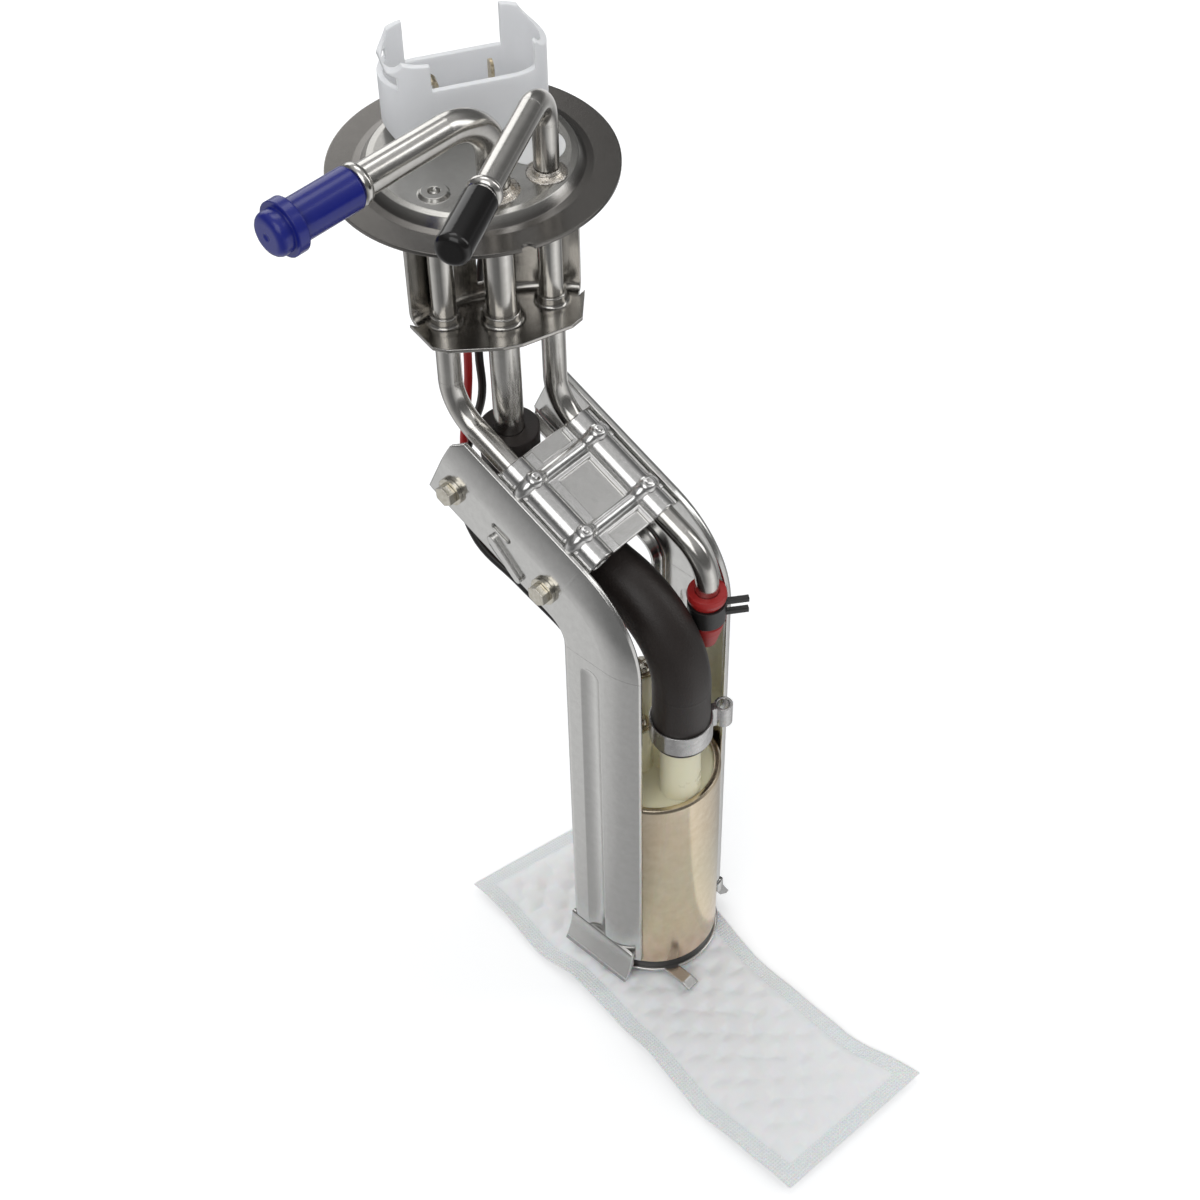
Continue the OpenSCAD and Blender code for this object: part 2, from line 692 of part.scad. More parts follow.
module boot_clamp() {
    r = boot_r + fit;
    color([0.12, 0.12, 0.12]) translate([return_at.x, boot_y, boot_z - 8.4]) {
        tube(r + 0.8, r, 6.2);
        for (k = [0, 1]) rotate(-38) translate([r + 0.5, -0.7, 0.4 + k * 4]) cube([6.5, 1.4, 1.4]);
    }
}

// Pump
module pump_can() {
    rim = 1;
    crimp = 1.6;
    color("burlywood") at(pump_at) rotate_extrude($fn = 72) polygon([
        [bore_r - crimp, can_bottom], [can_r - 0.6, can_bottom], [can_r, can_bottom + 0.6],
        [can_r, can_top - 0.8], [can_r - 0.5, can_top], [bore_r - rim + 0.6, can_top],
        [bore_r - rim, can_top - 0.2], [bore_r - rim, can_top - 0.7], [bore_r, can_top - 1.6],
        [bore_r, can_bottom + 1], [bore_r - crimp, can_bottom + 1]
    ]);
}
cap_r = bore_r - fit;
post_at = [[-3.4, 3.4, -155], [3.6, 8, -141]];
brush_off = 7;
nozzle_r = 5.9;
valve_seat = hose_end - 6.7;
valve_room = 7.6;
module pump_end_cap() {
    color("cornsilk") difference() {
        union() {
            at(pump_at, cap_z - cap_len) disc(cap_r, cap_len + 0.1);
            at(pump_at, cap_z + 0.1) disc(cap_r - 0.15, 0.9, cap_r - 1.2);
            // Outlet nozzle with its smaller barb inside the hose
            at(outlet_at, cap_z) disc(nozzle_r, hose_end - cap_z - 0.6, nozzle_r - 0.3);
            at(outlet_at, hose_end - 0.8) disc(feed_r, barb_z - hose_end);
            for (p = post_at) translate([pump_at.x + p.x, pump_at.y + p.y, cap_z]) disc(4.3, p.z - cap_z, 3.9);
            // Ribs tie the posts and the nozzle together
            translate([pump_at.x - 1, pump_at.y - 7, cap_z]) cube([2, 12, 9]);
            translate([pump_at.x - 9, pump_at.y + 2.4, cap_z]) cube([14, 2, 5]);
        }
        // Passage from the pump, valve chamber with its seat, and the bore of the barb
        at(outlet_at, cap_z - cap_len - 1) disc(3.4, cap_len + 6);
        at(outlet_at, cap_z) disc(1.5, barb_z - cap_z + 1);
        at(outlet_at, valve_seat) disc(2.6, valve_room);
        at(pump_at, cap_z - cap_len - 1) disc(3.6, 5.6);
        for (side = [-1, 1]) translate([pump_at.x + side * brush_off, pump_at.y + 0.6, cap_z - cap_len / 2 - 1.6])
            cube([4.2, 5.2, cap_len], center = true);
        for (p = post_at) translate([pump_at.x + p.x, pump_at.y + p.y, p.z - 6]) disc(1.3 + fit, 7);
    }
}
module terminal_screws() {
    color("silver") for (p = post_at) translate([pump_at.x + p.x, pump_at.y + p.y, p.z + 0.9]) {
        translate([0, 0, -6.4]) disc(1.3, 6.5);
        difference() {
            disc(2.7, 1.9, 2.2);
            translate([-3, -0.4, 1.1]) cube([6, 0.8, 2]);
            translate([-0.4, -3, 1.1]) cube([0.8, 6, 2]);
        }
    }
}
module ring_terminals() {
    // Flat ring under the screw, and an upright barrel that the wire comes down to
    color("tan") for (i = [0, 1]) {
        p = post_at[i];
        translate([pump_at.x + p.x, pump_at.y + p.y, p.z + fit]) rotate(i == 0 ? 165 : 150) difference() {
            union() {
                disc(3.4, 0.8);
                translate([2, -1.5, 0]) cube([3.4, 3, 0.8]);
                translate([5.2, 0, 0]) disc(1.9, 6);
            }
            translate([0, 0, -1]) disc(1.3 + fit, 4);
        }
    }
}
module brushes() {
    color("dimgray") for (side = [-1, 1])
        translate([pump_at.x + side * brush_off - 2, pump_at.y - 1.9, comm_z + gap]) cube([4, 5, 7.4]);
}
module brush_springs() {
    base = comm_z + gap + 7.5;
    color("silver") for (side = [-1, 1])
        translate([pump_at.x + side * brush_off, pump_at.y + 0.6, base]) coil(1.5, 0.35, 5.9, 6);
}
// Coil spring as a stack of rings joined by a spine bead, closed at both ends
module coil(r, wire, high, turns) {
    pitch = (high - 2 * wire) / (turns - 1);
    for (i = [0:turns - 1]) translate([0, 0, wire + i * pitch])
        rotate_extrude($fn = 24) translate([r, 0]) circle(wire, $fn = 14);
    for (i = [0:turns - 2]) translate([i % 2 == 0 ? r : -r, 0, wire + i * pitch])
        cylinder(r = wire * 0.8, h = pitch, $fn = 14);
}
module armature_shaft() {
    top = cap_z - cap_len + 3.6;
    color("silver") at(pump_at, cover_z - 2) disc(shaft_r, top - cover_z + 2);
}
module armature_core() {
    slots = 8;
    core_r = can_r - 7.4;
    color("darkgoldenrod") at(pump_at, core_z - core_len) difference() {
        union() {
            disc(core_r, core_len);
            translate([0, 0, core_len - eps]) disc(core_r - 2.5, 2.6, 6);
            translate([0, 0, -2.6]) disc(6, 2.6 + eps, core_r - 2.5);
        }
        for (i = [0:slots - 1]) rotate(i * 360 / slots)
            translate([core_r - 1.6, -0.7, -1]) cube([4, 1.4, core_len + 2]);
        translate([0, 0, -10]) disc(shaft_r + fit, core_len + 20);
    }
}
module commutator() {
    bars = 8;
    color("peru") at(pump_at, comm_z - 3) difference() {
        union() {
            disc(10, 3);
            translate([0, 0, -0.8]) disc(6, 1);
        }
        for (i = [0:bars - 1]) rotate(22.5 + i * 360 / bars) translate([4, -0.3, 2.2]) cube([8, 0.6, 2]);
        translate([0, 0, -4]) disc(shaft_r + fit, 10);
    }
}
module magnets() {
    inner = can_r - 6.6;
    color([0.25, 0.25, 0.27]) at(pump_at, core_z - core_len + 1) for (side = [0, 1]) rotate(20 + side * 180)
        rotate_extrude(angle = 140, $fn = 72) translate([inner, 0]) square([bore_r - inner - fit, core_len + 3]);
}
module shaft_bearings() {
    color("goldenrod") {
        at(pump_at, cap_z - cap_len + 0.2) tube(3.6 - fit, shaft_r + run, 4);
        at(pump_at, impeller_z + run + 0.4) tube(3.6 - fit, shaft_r + run, chamber_t - 0.8);
    }
}
module impeller() {
    vanes = 28;
    r = can_r - 4;
    color("darkslategray") at(pump_at, cover_z + run) difference() {
        disc(r, impeller_t);
        for (face = [-0.01, impeller_t - 1.19]) for (i = [0:vanes - 1]) rotate(i * 360 / vanes)
            translate([r - 3, -0.55, face]) cube([2.2, 1.1, 1.2]);
        for (i = [0:2]) rotate(i * 120) translate([5.2, 0, -1]) disc(1.1, 8);
        translate([0, 0, -1]) disc(shaft_r + fit, 8);
    }
}
module chamber_plate() {
    color("lightgray") at(pump_at, impeller_z) difference() {
        disc(cap_r, chamber_t);
        // Flow channel over the vanes, and its outlet port
        translate([0, 0, -eps]) rotate_extrude(angle = 300) translate([can_r - 7, 0]) square([3, 1.2]);
        rotate(292) translate([can_r - 5.5, 0, -1]) disc(1.2, 10);
        translate([0, 0, -1]) disc(2.6, 10);
        translate([0, 0, 0.4]) disc(3.6, 10);
    }
}
relief_at = [pump_at.x + 9, pump_at.y - 3];
relief_floor = cover_z - cover_t + 0.9;
relief_seat = cover_z - 1.6;
relief_r = 1.3;
module inlet_cover() {
    low = cover_z - cover_t;
    color("lightgray") difference() {
        union() {
            at(pump_at, low) disc(cap_r, cover_t);
            at(inlet_at, can_bottom - 7) disc(inlet_r, 9);
        }
        at(pump_at, cover_z - 1.2) rotate(60) rotate_extrude(angle = 300) translate([can_r - 7, 0]) square([3, 2]);
        at(inlet_at, can_bottom - 8) disc(3.2, cover_t + 6);
        at(inlet_at, cover_z - 3) translate([-1.2, 0, 0]) cube([2.4, 6.4, 5]);
        at(pump_at, cover_z - 2.6) disc(shaft_r + gap, 5);
        // Chamber and passage of the relief valve
        at(relief_at, relief_floor) disc(relief_r + 0.3, relief_seat - relief_floor);
        at(relief_at, low - 1) disc(0.8, cover_t + 2);
    }
}

// Valves
module check_valve() {
    color("darkgreen") at(outlet_at, valve_seat + 0.1) {
        disc(2, 0.8);
        translate([0, 0, 0.8 - eps]) disc(1.1, 3.2);
        translate([0, 0, -3.6]) disc(0.9, 3.8);
    }
}
module check_spring() {
    color("silver") at(outlet_at, valve_seat + 1.1) coil(1.75, 0.3, valve_room - 1.2, 5);
}
module relief_valve() {
    color("silver") at(relief_at, relief_seat - relief_r + 0.2) sphere(relief_r);
}
module relief_spring() {
    color("silver") at(relief_at, relief_floor + 0.05) coil(1.2, 0.2, 1.3, 3);
}

// Seat of the pump between the feet
module pump_isolator() {
    color([0.1, 0.1, 0.1]) difference() {
        union() {
            at(pump_at, cradle_z + fit) disc(can_r - 0.4, isolator_t - 2 * fit);
            translate([arm_x + 1.6, pump_at.y - 4, cradle_z + fit]) cube([2 * hug_r - 3.2, 14, isolator_t - 2 * fit]);
        }
        at(inlet_at, cradle_z - 1) disc(inlet_r + fit, 8);
    }
}
module pump_cradle() {
    w = 2 * (hug_r - sheet);
    tab_at = [pump_at.x - 10.4, pump_at.y - can_r - 3.8];
    color("silver") difference() {
        union() {
            at(pump_at, cradle_z - sheet) intersection() {
                disc(can_r + 0.6, sheet);
                translate([-w / 2 + 0.1, -30, 0]) cube([w - 0.2, 60, sheet]);
            }
            // Side tabs that reach the flared feet
            translate([pump_at.x - w / 2 - 2, pump_at.y - 2, cradle_z - sheet]) cube([w + 4, 12, sheet]);
            // Small front tab, bent down at its end
            translate([tab_at.x - 2, tab_at.y, cradle_z - sheet]) cube([4, 8, sheet]);
            translate([tab_at.x - 2, tab_at.y + 0.2, cradle_z]) rotate([195, 0, 0]) cube([4, 3, sheet]);
        }
        at(inlet_at, cradle_z - 4) disc(5.6, 8);
    }
}

// Strainer
module strainer_neck() {
    color("white") difference() {
        union() {
            at(inlet_at, sock_z + 0.1) disc(9, 1.2);
            at(inlet_at, sock_z - 0.4) disc(5.5, cradle_z - fit - sock_z + 0.4);
        }
        at(inlet_at, sock_z - 2) disc(inlet_r + fit, 12);
    }
}
module strainer_clip() {
    color("silver") at(inlet_at, sock_z - 0.9) tube(5.6, inlet_r + fit, 0.45);
}
sock_back = 50;
module sock_outline(inset = 0) {
    // Long soft envelope, a little waisted and turned across the arms
    offset(delta = -inset) polygon([
        [12.5, pump_at.y + sock_back - 8], [10.8, -40], [11.1, -75], [6.4, -97], [4.9, -114], [4.1, -134],
        [7.7, pump_at.y - sock_reach - 1.2], [-20, pump_at.y - sock_reach + 1.4], [-46.9, pump_at.y - sock_reach + 3.6],
        [-46, -118.6], [-40.5, -90], [-37, -60], [-37.6, -46], [-34, -25], [-33, pump_at.y + sock_back + 2.6],
        [-8, pump_at.y + sock_back - 3.4]
    ]);
}
module strainer_sock() {
    seam = 0.9;
    skin = 0.8;
    mid = sock_z - sock_t / 2;
    color("whitesmoke") difference() {
        union() {
            translate([0, 0, mid - seam / 2]) linear_extrude(seam) sock_outline();
            translate([0, 0, mid - sock_t / 2]) linear_extrude(sock_t) sock_outline(6);
        }
        translate([0, 0, mid - sock_t / 2 + skin]) linear_extrude(sock_t - 2 * skin) sock_outline(7);
        at(inlet_at, mid) disc(5.9, 8);
    }
}
module strainer_frame() {
    t = 1.2;
    color("white") translate([0, 0, sock_z - sock_t / 2 - t / 2 - 0.4]) {
        difference() {
            translate([-23, -140, 0]) cube([18, 112, t]);
            for (i = [0:10]) translate([-21, -138 + i * 10, -1]) cube([14, 8, 5]);
        }
    }
}

// Wires, held all along between the flange and the pump
red_route = [
    [3.4, 15.1, -6.2], [3.4, 15.1, -10], [2.4, 13.4, -17], [-1.5, 7, -32], [-5, 2, -48], [-6.4, 0.4, -60], [-7.8, 0.6, -74],
    [-10, 0.6, -86], [-14.4, -4, -95], [-18, -16, -100.5], [-18.4, -32, -105], [-18.2, -46, -110], [-18, -56, -118],
    [-17.4, -60.5, -132], [-15.2, -60, -142], [-14.4, -60, -146], [-14.4, -60, -148.9]
];
black_route = [
    [15.6, 8.1, -6.2], [15.6, 8.1, -10], [14, 7.4, -17], [6, 5, -32], [0, 2.5, -48], [-1.8, 1, -60], [-2.2, 0.6, -74],
    [-5, 2.4, -86], [-12.8, -0.6, -97.6], [-20.4, -12, -104], [-21.4, -30, -110], [-21.2, -44, -115.4], [-19.6, -51, -122],
    [-12, -51.5, -128], [-7.4, -53.6, -132], [-6.9, -54.1, -133.4], [-6.9, -54.1, -134.9]
];
wire_r = 1.15;
// Eight-sided tube swept along a list of points
module wire(pts, r) {
    sides = 8;
    n = len(pts);
    dirs = [for (i = [0:n - 1]) unit(pts[min(i + 1, n - 1)] - pts[max(i - 1, 0)])];
    rings = [for (i = [0:n - 1]) let (
        side = unit(cross(dirs[i], [1, 0.3, 0])),
        up = cross(side, dirs[i])
    ) for (k = [0:sides - 1]) pts[i] + r * (cos(k * 360 / sides) * side + sin(k * 360 / sides) * up)];
    skin = [for (i = [0:n - 2]) for (k = [0:sides - 1]) let (
        a = i * sides + k,
        b = i * sides + (k + 1) % sides
    ) each [[a, b, b + sides], [a, b + sides, a + sides]]];
    ends = [[for (k = [sides - 1:-1:0]) k], [for (k = [0:sides - 1]) (n - 1) * sides + k]];
    polyhedron(rings, concat(skin, ends));
}
module red_wire() {
    color("red") wire(red_route, wire_r);
}
module black_wire() {
    color([0.1, 0.1, 0.1]) wire(black_route, wire_r);
}

flange_plate();
label_disc();
feed_tube();
return_tube();
support_tube();
braze_rings();
connector_shroud();
connector_terminals();
terminal_seal();
spacer_bracket();
blue_cap();
black_cap();
saddle_clamp();
rear_bracket();
left_arm();
arm_screws();
arm_washers();
pump_hose();
hose_clamp();
return_boot();
boot_clamp();
pump_can();
pump_end_cap();
terminal_screws();
ring_terminals();
brushes();
brush_springs();
armature_shaft();
armature_core();
commutator();
magnets();
shaft_bearings();
impeller();
chamber_plate();
inlet_cover();
check_valve();
check_spring();
relief_valve();
relief_spring();
pump_isolator();
pump_cradle();
strainer_neck();
strainer_frame();
strainer_clip();
strainer_sock();
red_wire();
black_wire();
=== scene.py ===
"""Looks of the fuel pump module: finishes of its parts, cloth strainer, wires, light and camera."""
import math

import bmesh
import bpy
from mathutils import Matrix, Vector, noise


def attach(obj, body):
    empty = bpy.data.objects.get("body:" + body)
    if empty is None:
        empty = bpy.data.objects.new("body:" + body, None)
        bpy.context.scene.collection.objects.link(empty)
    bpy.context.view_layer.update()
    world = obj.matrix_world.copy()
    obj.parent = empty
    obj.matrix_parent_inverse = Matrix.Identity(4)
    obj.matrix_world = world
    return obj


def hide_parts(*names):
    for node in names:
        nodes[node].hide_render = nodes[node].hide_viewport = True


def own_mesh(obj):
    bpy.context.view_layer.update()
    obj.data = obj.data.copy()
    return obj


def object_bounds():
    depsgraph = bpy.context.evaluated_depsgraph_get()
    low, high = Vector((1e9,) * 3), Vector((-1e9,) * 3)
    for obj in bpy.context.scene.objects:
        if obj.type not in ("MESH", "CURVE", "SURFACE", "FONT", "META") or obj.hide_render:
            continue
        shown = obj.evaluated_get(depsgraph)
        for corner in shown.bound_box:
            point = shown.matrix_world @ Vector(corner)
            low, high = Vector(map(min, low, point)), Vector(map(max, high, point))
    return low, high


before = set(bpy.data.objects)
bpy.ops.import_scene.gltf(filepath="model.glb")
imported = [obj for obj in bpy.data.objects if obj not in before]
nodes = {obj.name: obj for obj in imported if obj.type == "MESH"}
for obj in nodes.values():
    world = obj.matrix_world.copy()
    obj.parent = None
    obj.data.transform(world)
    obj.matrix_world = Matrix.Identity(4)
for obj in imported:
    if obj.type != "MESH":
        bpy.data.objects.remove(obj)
cad_box = [list(corner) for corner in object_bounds()]
MM = 0.001


# Helpers for pieces
def piece_from(mesh, name):
    """Ends a bmesh as a smooth object at the origin."""
    data = bpy.data.meshes.new(name)
    mesh.to_mesh(data)
    mesh.free()
    for face in data.polygons:
        face.use_smooth = True
    made = bpy.data.objects.new(name, data)
    bpy.context.scene.collection.objects.link(made)
    return made


def extrude_face(mesh, outline, vec):
    """Makes a face from the outline's places and pulls it out along vec."""
    face = mesh.faces.new([mesh.verts.new(place) for place in outline])
    grown = bmesh.ops.extrude_face_region(mesh, geom=[face])["geom"]
    moved = [item for item in grown if isinstance(item, bmesh.types.BMVert)]
    bmesh.ops.translate(mesh, verts=moved, vec=vec)


def to_metres(mesh):
    """Takes a closed mesh from millimetres to metres, with its faces outwards."""
    bmesh.ops.scale(mesh, verts=mesh.verts, vec=(MM, MM, MM))
    bmesh.ops.recalc_face_normals(mesh, faces=mesh.faces)


def eased(share):
    """A share from 0 to 1 that starts and ends gently."""
    return share * share * (3 - 2 * share)


# Helpers for finishes
def new_finish(name):
    material = bpy.data.materials.new(name)
    material.use_nodes = True
    tree = material.node_tree
    return material, tree, tree.nodes["Principled BSDF"]


def join(tree, *pairs):
    for start, end in pairs:
        tree.links.new(start, end)


def feed(tree, socket, value):
    """Sets a socket to a number or a colour, or joins another socket to it."""
    if isinstance(value, (int, float)):
        socket.default_value = value
    elif isinstance(value, tuple):
        socket.default_value = (*value, 1)
    else:
        tree.links.new(value, socket)


def maths(tree, what, *values):
    node = tree.nodes.new("ShaderNodeMath")
    node.operation = what
    for socket, value in zip(node.inputs, values):
        feed(tree, socket, value)
    return node.outputs[0]


def object_place(tree):
    return tree.nodes.new("ShaderNodeTexCoord").outputs["Object"]


def noise_at(tree, vector, scale, detail=3.0, rough=0.55):
    node = tree.nodes.new("ShaderNodeTexNoise")
    feed(tree, node.inputs["Scale"], scale)
    feed(tree, node.inputs["Detail"], detail)
    feed(tree, node.inputs["Roughness"], rough)
    join(tree, (vector, node.inputs["Vector"]))
    return node.outputs["Fac"]


def ranged(tree, value, low, high, start=0.0, end=1.0):
    """The value's place between low and high, as a number from start to end."""
    node = tree.nodes.new("ShaderNodeMapRange")
    for title, number in (("From Min", low), ("From Max", high), ("To Min", start), ("To Max", end)):
        node.inputs[title].default_value = number
    join(tree, (value, node.inputs["Value"]))
    return node.outputs["Result"]


def ramp(tree, value, stops):
    node = tree.nodes.new("ShaderNodeValToRGB")
    while len(node.color_ramp.elements) < len(stops):
        node.color_ramp.elements.new(0.5)
    for stop, (at, color) in zip(node.color_ramp.elements, stops):
        stop.position = at
        stop.color = (*color, 1)
    join(tree, (value, node.inputs["Fac"]))
    return node.outputs["Color"]


def greys(*stops):
    """Grey stops for a ramp, from pairs of place and level."""
    return [(at, (level, level, level)) for at, level in stops]


def mixed(tree, share, low, high, kind="MIX"):
    node = tree.nodes.new("ShaderNodeMix")
    node.data_type = "RGBA"
    node.blend_type = kind
    for title, value in (("Factor", share), ("A", low), ("B", high)):
        feed(tree, node.inputs[title], value)
    return node.outputs["Result"]


def bumped(tree, height, strength, distance, normal=None):
    """The surface's normal, made uneven by a height."""
    bump = tree.nodes.new("ShaderNodeBump")
    bump.inputs["Strength"].default_value = strength
    bump.inputs["Distance"].default_value = distance
    join(tree, (height, bump.inputs["Height"]))
    if normal is not None:
        join(tree, (normal, bump.inputs["Normal"]))
    return bump.outputs[0]


def ray_shares(tree):
    """Whether a ray comes from the camera or through something clear, and whether from a shiny surface."""
    path = tree.nodes.new("ShaderNodeLightPath")
    seen = maths(tree, "MAXIMUM", path.outputs["Is Camera Ray"], path.outputs["Is Transmission Ray"])
    return seen, path.outputs["Is Glossy Ray"]


# Effects that several finishes share
def new_group(name, inputs, outputs):
    """An empty shader node group; inputs are (name, kind, value) and outputs (name, kind)."""
    group = bpy.data.node_groups.new(name, "ShaderNodeTree")
    for title, kind, value in inputs:
        socket = group.interface.new_socket(title, in_out="INPUT", socket_type=kind)
        socket.default_value = value
    for title, kind in outputs:
        group.interface.new_socket(title, in_out="OUTPUT", socket_type=kind)
    return group, group.nodes.new("NodeGroupInput"), group.nodes.new("NodeGroupOutput")


def soft_edge_group():
    """Rounded-over edges of sheet and moulded parts: a normal, and a mask of where the edges are, which
    metals use for a painted highlight.
    """
    group, start, end = new_group(
        "soft_edge",
        [("Radius", "NodeSocketFloat", 0.0003)],
        [("Normal", "NodeSocketVector"), ("Edge", "NodeSocketFloat")])
    bevel = group.nodes.new("ShaderNodeBevel")
    bevel.samples = 8
    flat = group.nodes.new("ShaderNodeNewGeometry")
    turn = group.nodes.new("ShaderNodeVectorMath")
    turn.operation = "DOT_PRODUCT"
    join(group, (start.outputs["Radius"], bevel.inputs["Radius"]),
         (bevel.outputs[0], turn.inputs[0]), (flat.outputs["Normal"], turn.inputs[1]),
         (bevel.outputs[0], end.inputs["Normal"]),
         (ranged(group, turn.outputs["Value"], 0.995, 0.86), end.inputs["Edge"]))
    return group


def plating_group():
    """Electroplated sheet: crystal blotches and fine drawing lines as masks, and both as a height."""
    group, start, end = new_group(
        "plating",
        [("Blotch Scale", "NodeSocketFloat", 260.0), ("Line Stretch", "NodeSocketVector", (1.0, 1.0, 0.08))],
        [("Blotch", "NodeSocketFloat"), ("Lines", "NodeSocketFloat"), ("Height", "NodeSocketFloat")])
    place = object_place(group)
    blotch = noise_at(group, place, start.outputs["Blotch Scale"], 5, 0.65)
    stretch = group.nodes.new("ShaderNodeVectorMath")
    stretch.operation = "MULTIPLY"
    join(group, (place, stretch.inputs[0]), (start.outputs["Line Stretch"], stretch.inputs[1]))
    lines = noise_at(group, stretch.outputs[0], 2600, 2)
    height = maths(group, "MULTIPLY", blotch, 0.65)
    height = maths(group, "ADD", maths(group, "MULTIPLY", lines, 0.35), height)
    join(group, (blotch, end.inputs["Blotch"]), (lines, end.inputs["Lines"]), (height, end.inputs["Height"]))
    return group


GROUPS = {"soft_edge": soft_edge_group(), "plating": plating_group()}


def effect(tree, name, **values):
    node = tree.nodes.new("ShaderNodeGroup")
    node.node_tree = GROUPS[name]
    for title, value in values.items():
        node.inputs[title.replace("_", " ")].default_value = value
    return node


# Kinds of finish
def metal(name, tones, rough, blotch, lines, relief=0.06, edge=0.0004, depth=0.00008):
    """Plated or drawn metal between two tones, with a painted highlight along its edges."""
    material, tree, surface = new_finish(name)
    plating = effect(tree, "plating", Blotch_Scale=blotch, Line_Stretch=lines)
    rim = effect(tree, "soft_edge", Radius=edge)
    color = mixed(tree, ranged(tree, plating.outputs["Blotch"], 0.32, 0.68), *tones)
    # Painted highlight: the edge mask mixes the colour towards pale grey along every edge
    color = mixed(tree, maths(tree, "MULTIPLY", rim.outputs["Edge"], 0.3), color, (0.85, 0.84, 0.82))
    gloss = ranged(tree, plating.outputs["Lines"], 0.3, 0.7, *rough)
    normal = bumped(tree, plating.outputs["Height"], relief, depth, rim.outputs["Normal"])
    surface.inputs["Metallic"].default_value = 1
    join(tree, (color, surface.inputs["Base Color"]), (gloss, surface.inputs["Roughness"]),
         (normal, surface.inputs["Normal"]))
    return material


def moulded(name, tones, rough, grain, relief, edge=0.0003, specular=0.5):
    """Moulded plastic or rubber between two tones."""
    material, tree, surface = new_finish(name)
    place = object_place(tree)
    cloud = noise_at(tree, place, 90, 4, 0.6)
    fine = noise_at(tree, place, grain, 4, 0.65)
    rim = effect(tree, "soft_edge", Radius=edge)
    color = mixed(tree, cloud, *tones)
    gloss = ranged(tree, cloud, 0.0, 1.0, *rough)
    normal = bumped(tree, fine, relief, 0.0004, rim.outputs["Normal"])
    surface.inputs["Specular IOR Level"].default_value = specular
    join(tree, (color, surface.inputs["Base Color"]), (gloss, surface.inputs["Roughness"]),
         (normal, surface.inputs["Normal"]))
    return material


def let_light_in(material, share, reach=(1.0, 1.0, 1.0)):
    """Makes a moulded finish a little clear, as nylon and acetal are."""
    surface = material.node_tree.nodes["Principled BSDF"]
    surface.inputs["Subsurface Weight"].default_value = share
    surface.inputs["Subsurface Radius"].default_value = reach
    surface.inputs["Subsurface Scale"].default_value = 0.002
    return material


def height_tint(material, stops, low, high):
    """Lays a colour that changes with height over a finish. Stops are places between low and high."""
    tree = material.node_tree
    base = tree.nodes["Principled BSDF"].inputs["Base Color"]
    plain = base.links[0].from_socket
    split = tree.nodes.new("ShaderNodeSeparateXYZ")
    join(tree, (object_place(tree), split.inputs[0]))
    tint = ramp(tree, ranged(tree, split.outputs["Z"], low, high), stops)
    join(tree, (mixed(tree, 1.0, plain, tint, "MULTIPLY"), base))
    return material


def dress(material, *names):
    for name in names:
        nodes[name].data.materials.clear()
        nodes[name].data.materials.append(material)


# Finishes of the module's own parts
EVEN = (1, 1, 1)
PLATEAU_RISE = (0.0009, 0.0041)
CAN_HEIGHT = (-0.2466, -0.1712)


def finish_sheet_metal():
    arm = metal("arm_zinc", ((0.64, 0.635, 0.62), (0.69, 0.685, 0.67)), (0.15, 0.23), 420, (1, 1, 0.06),
                relief=0.10, edge=0.0006)
    saddle = metal("saddle_zinc", ((0.66, 0.655, 0.645), (0.74, 0.735, 0.725)), (0.16, 0.26), 900,
                   (1, 0.3, 0.3), relief=0.22, edge=0.0006)
    spacer = metal("spacer_zinc", ((0.42, 0.405, 0.38), (0.50, 0.485, 0.46)), (0.17, 0.25), 380, (1, 1, 0.1),
                   relief=0.10)
    flange = metal("flange_zinc", ((0.50, 0.49, 0.475), (0.54, 0.53, 0.515)), (0.20, 0.27), 500, EVEN,
                   relief=0.08)
    # The rim is duller than the pressed plateau
    height_tint(flange, [(0.0, (0.34, 0.33, 0.32)), (0.35, (0.38, 0.37, 0.36)), (0.8, (0.78, 0.78, 0.765)),
                         (1.0, (0.84, 0.84, 0.82))], *PLATEAU_RISE)
    dress(arm, "left_arm", "rear_bracket", "pump_cradle")
    dress(saddle, "saddle_clamp")
    dress(spacer, "spacer_bracket")
    dress(flange, "flange_plate")


def finish_tubes():
    tube = metal("tube_steel", ((0.58, 0.565, 0.535), (0.66, 0.645, 0.62)), (0.15, 0.23), 240, (1, 1, 0.05),
                 relief=0.10)
    braze = metal("braze_metal", ((0.58, 0.52, 0.44), (0.82, 0.78, 0.72)), (0.16, 0.34), 900, EVEN,
                  relief=0.5, edge=0.0003, depth=0.0004)
    dress(tube, "feed_tube", "return_tube", "support_tube")
    dress(braze, "braze_rings")


def finish_fixings():
    screw = metal("screw_zinc", ((0.56, 0.53, 0.45), (0.70, 0.67, 0.60)), (0.14, 0.24), 700, EVEN,
                  relief=0.2, edge=0.0003)
    clamp = metal("clamp_steel", ((0.46, 0.455, 0.45), (0.58, 0.575, 0.57)), (0.18, 0.28), 600, (1, 1, 0.2),
                  relief=0.1, edge=0.0003)
    spring = metal("spring_steel", ((0.55, 0.55, 0.55), (0.7, 0.7, 0.7)), (0.2, 0.3), 800, (1, 1, 0.2),
                   relief=0.04, edge=0.0001)
    brass = metal("terminal_brass", ((0.42, 0.34, 0.22), (0.62, 0.55, 0.40)), (0.25, 0.4), 900, (1, 1, 0.2),
                  edge=0.0002)
    dress(screw, "arm_screws", "arm_washers", "terminal_screws")
    dress(clamp, "hose_clamp")
    dress(spring, "armature_shaft", "brush_springs", "check_spring", "relief_spring", "relief_valve",
          "strainer_clip")
    dress(brass, "connector_terminals", "ring_terminals", "commutator")


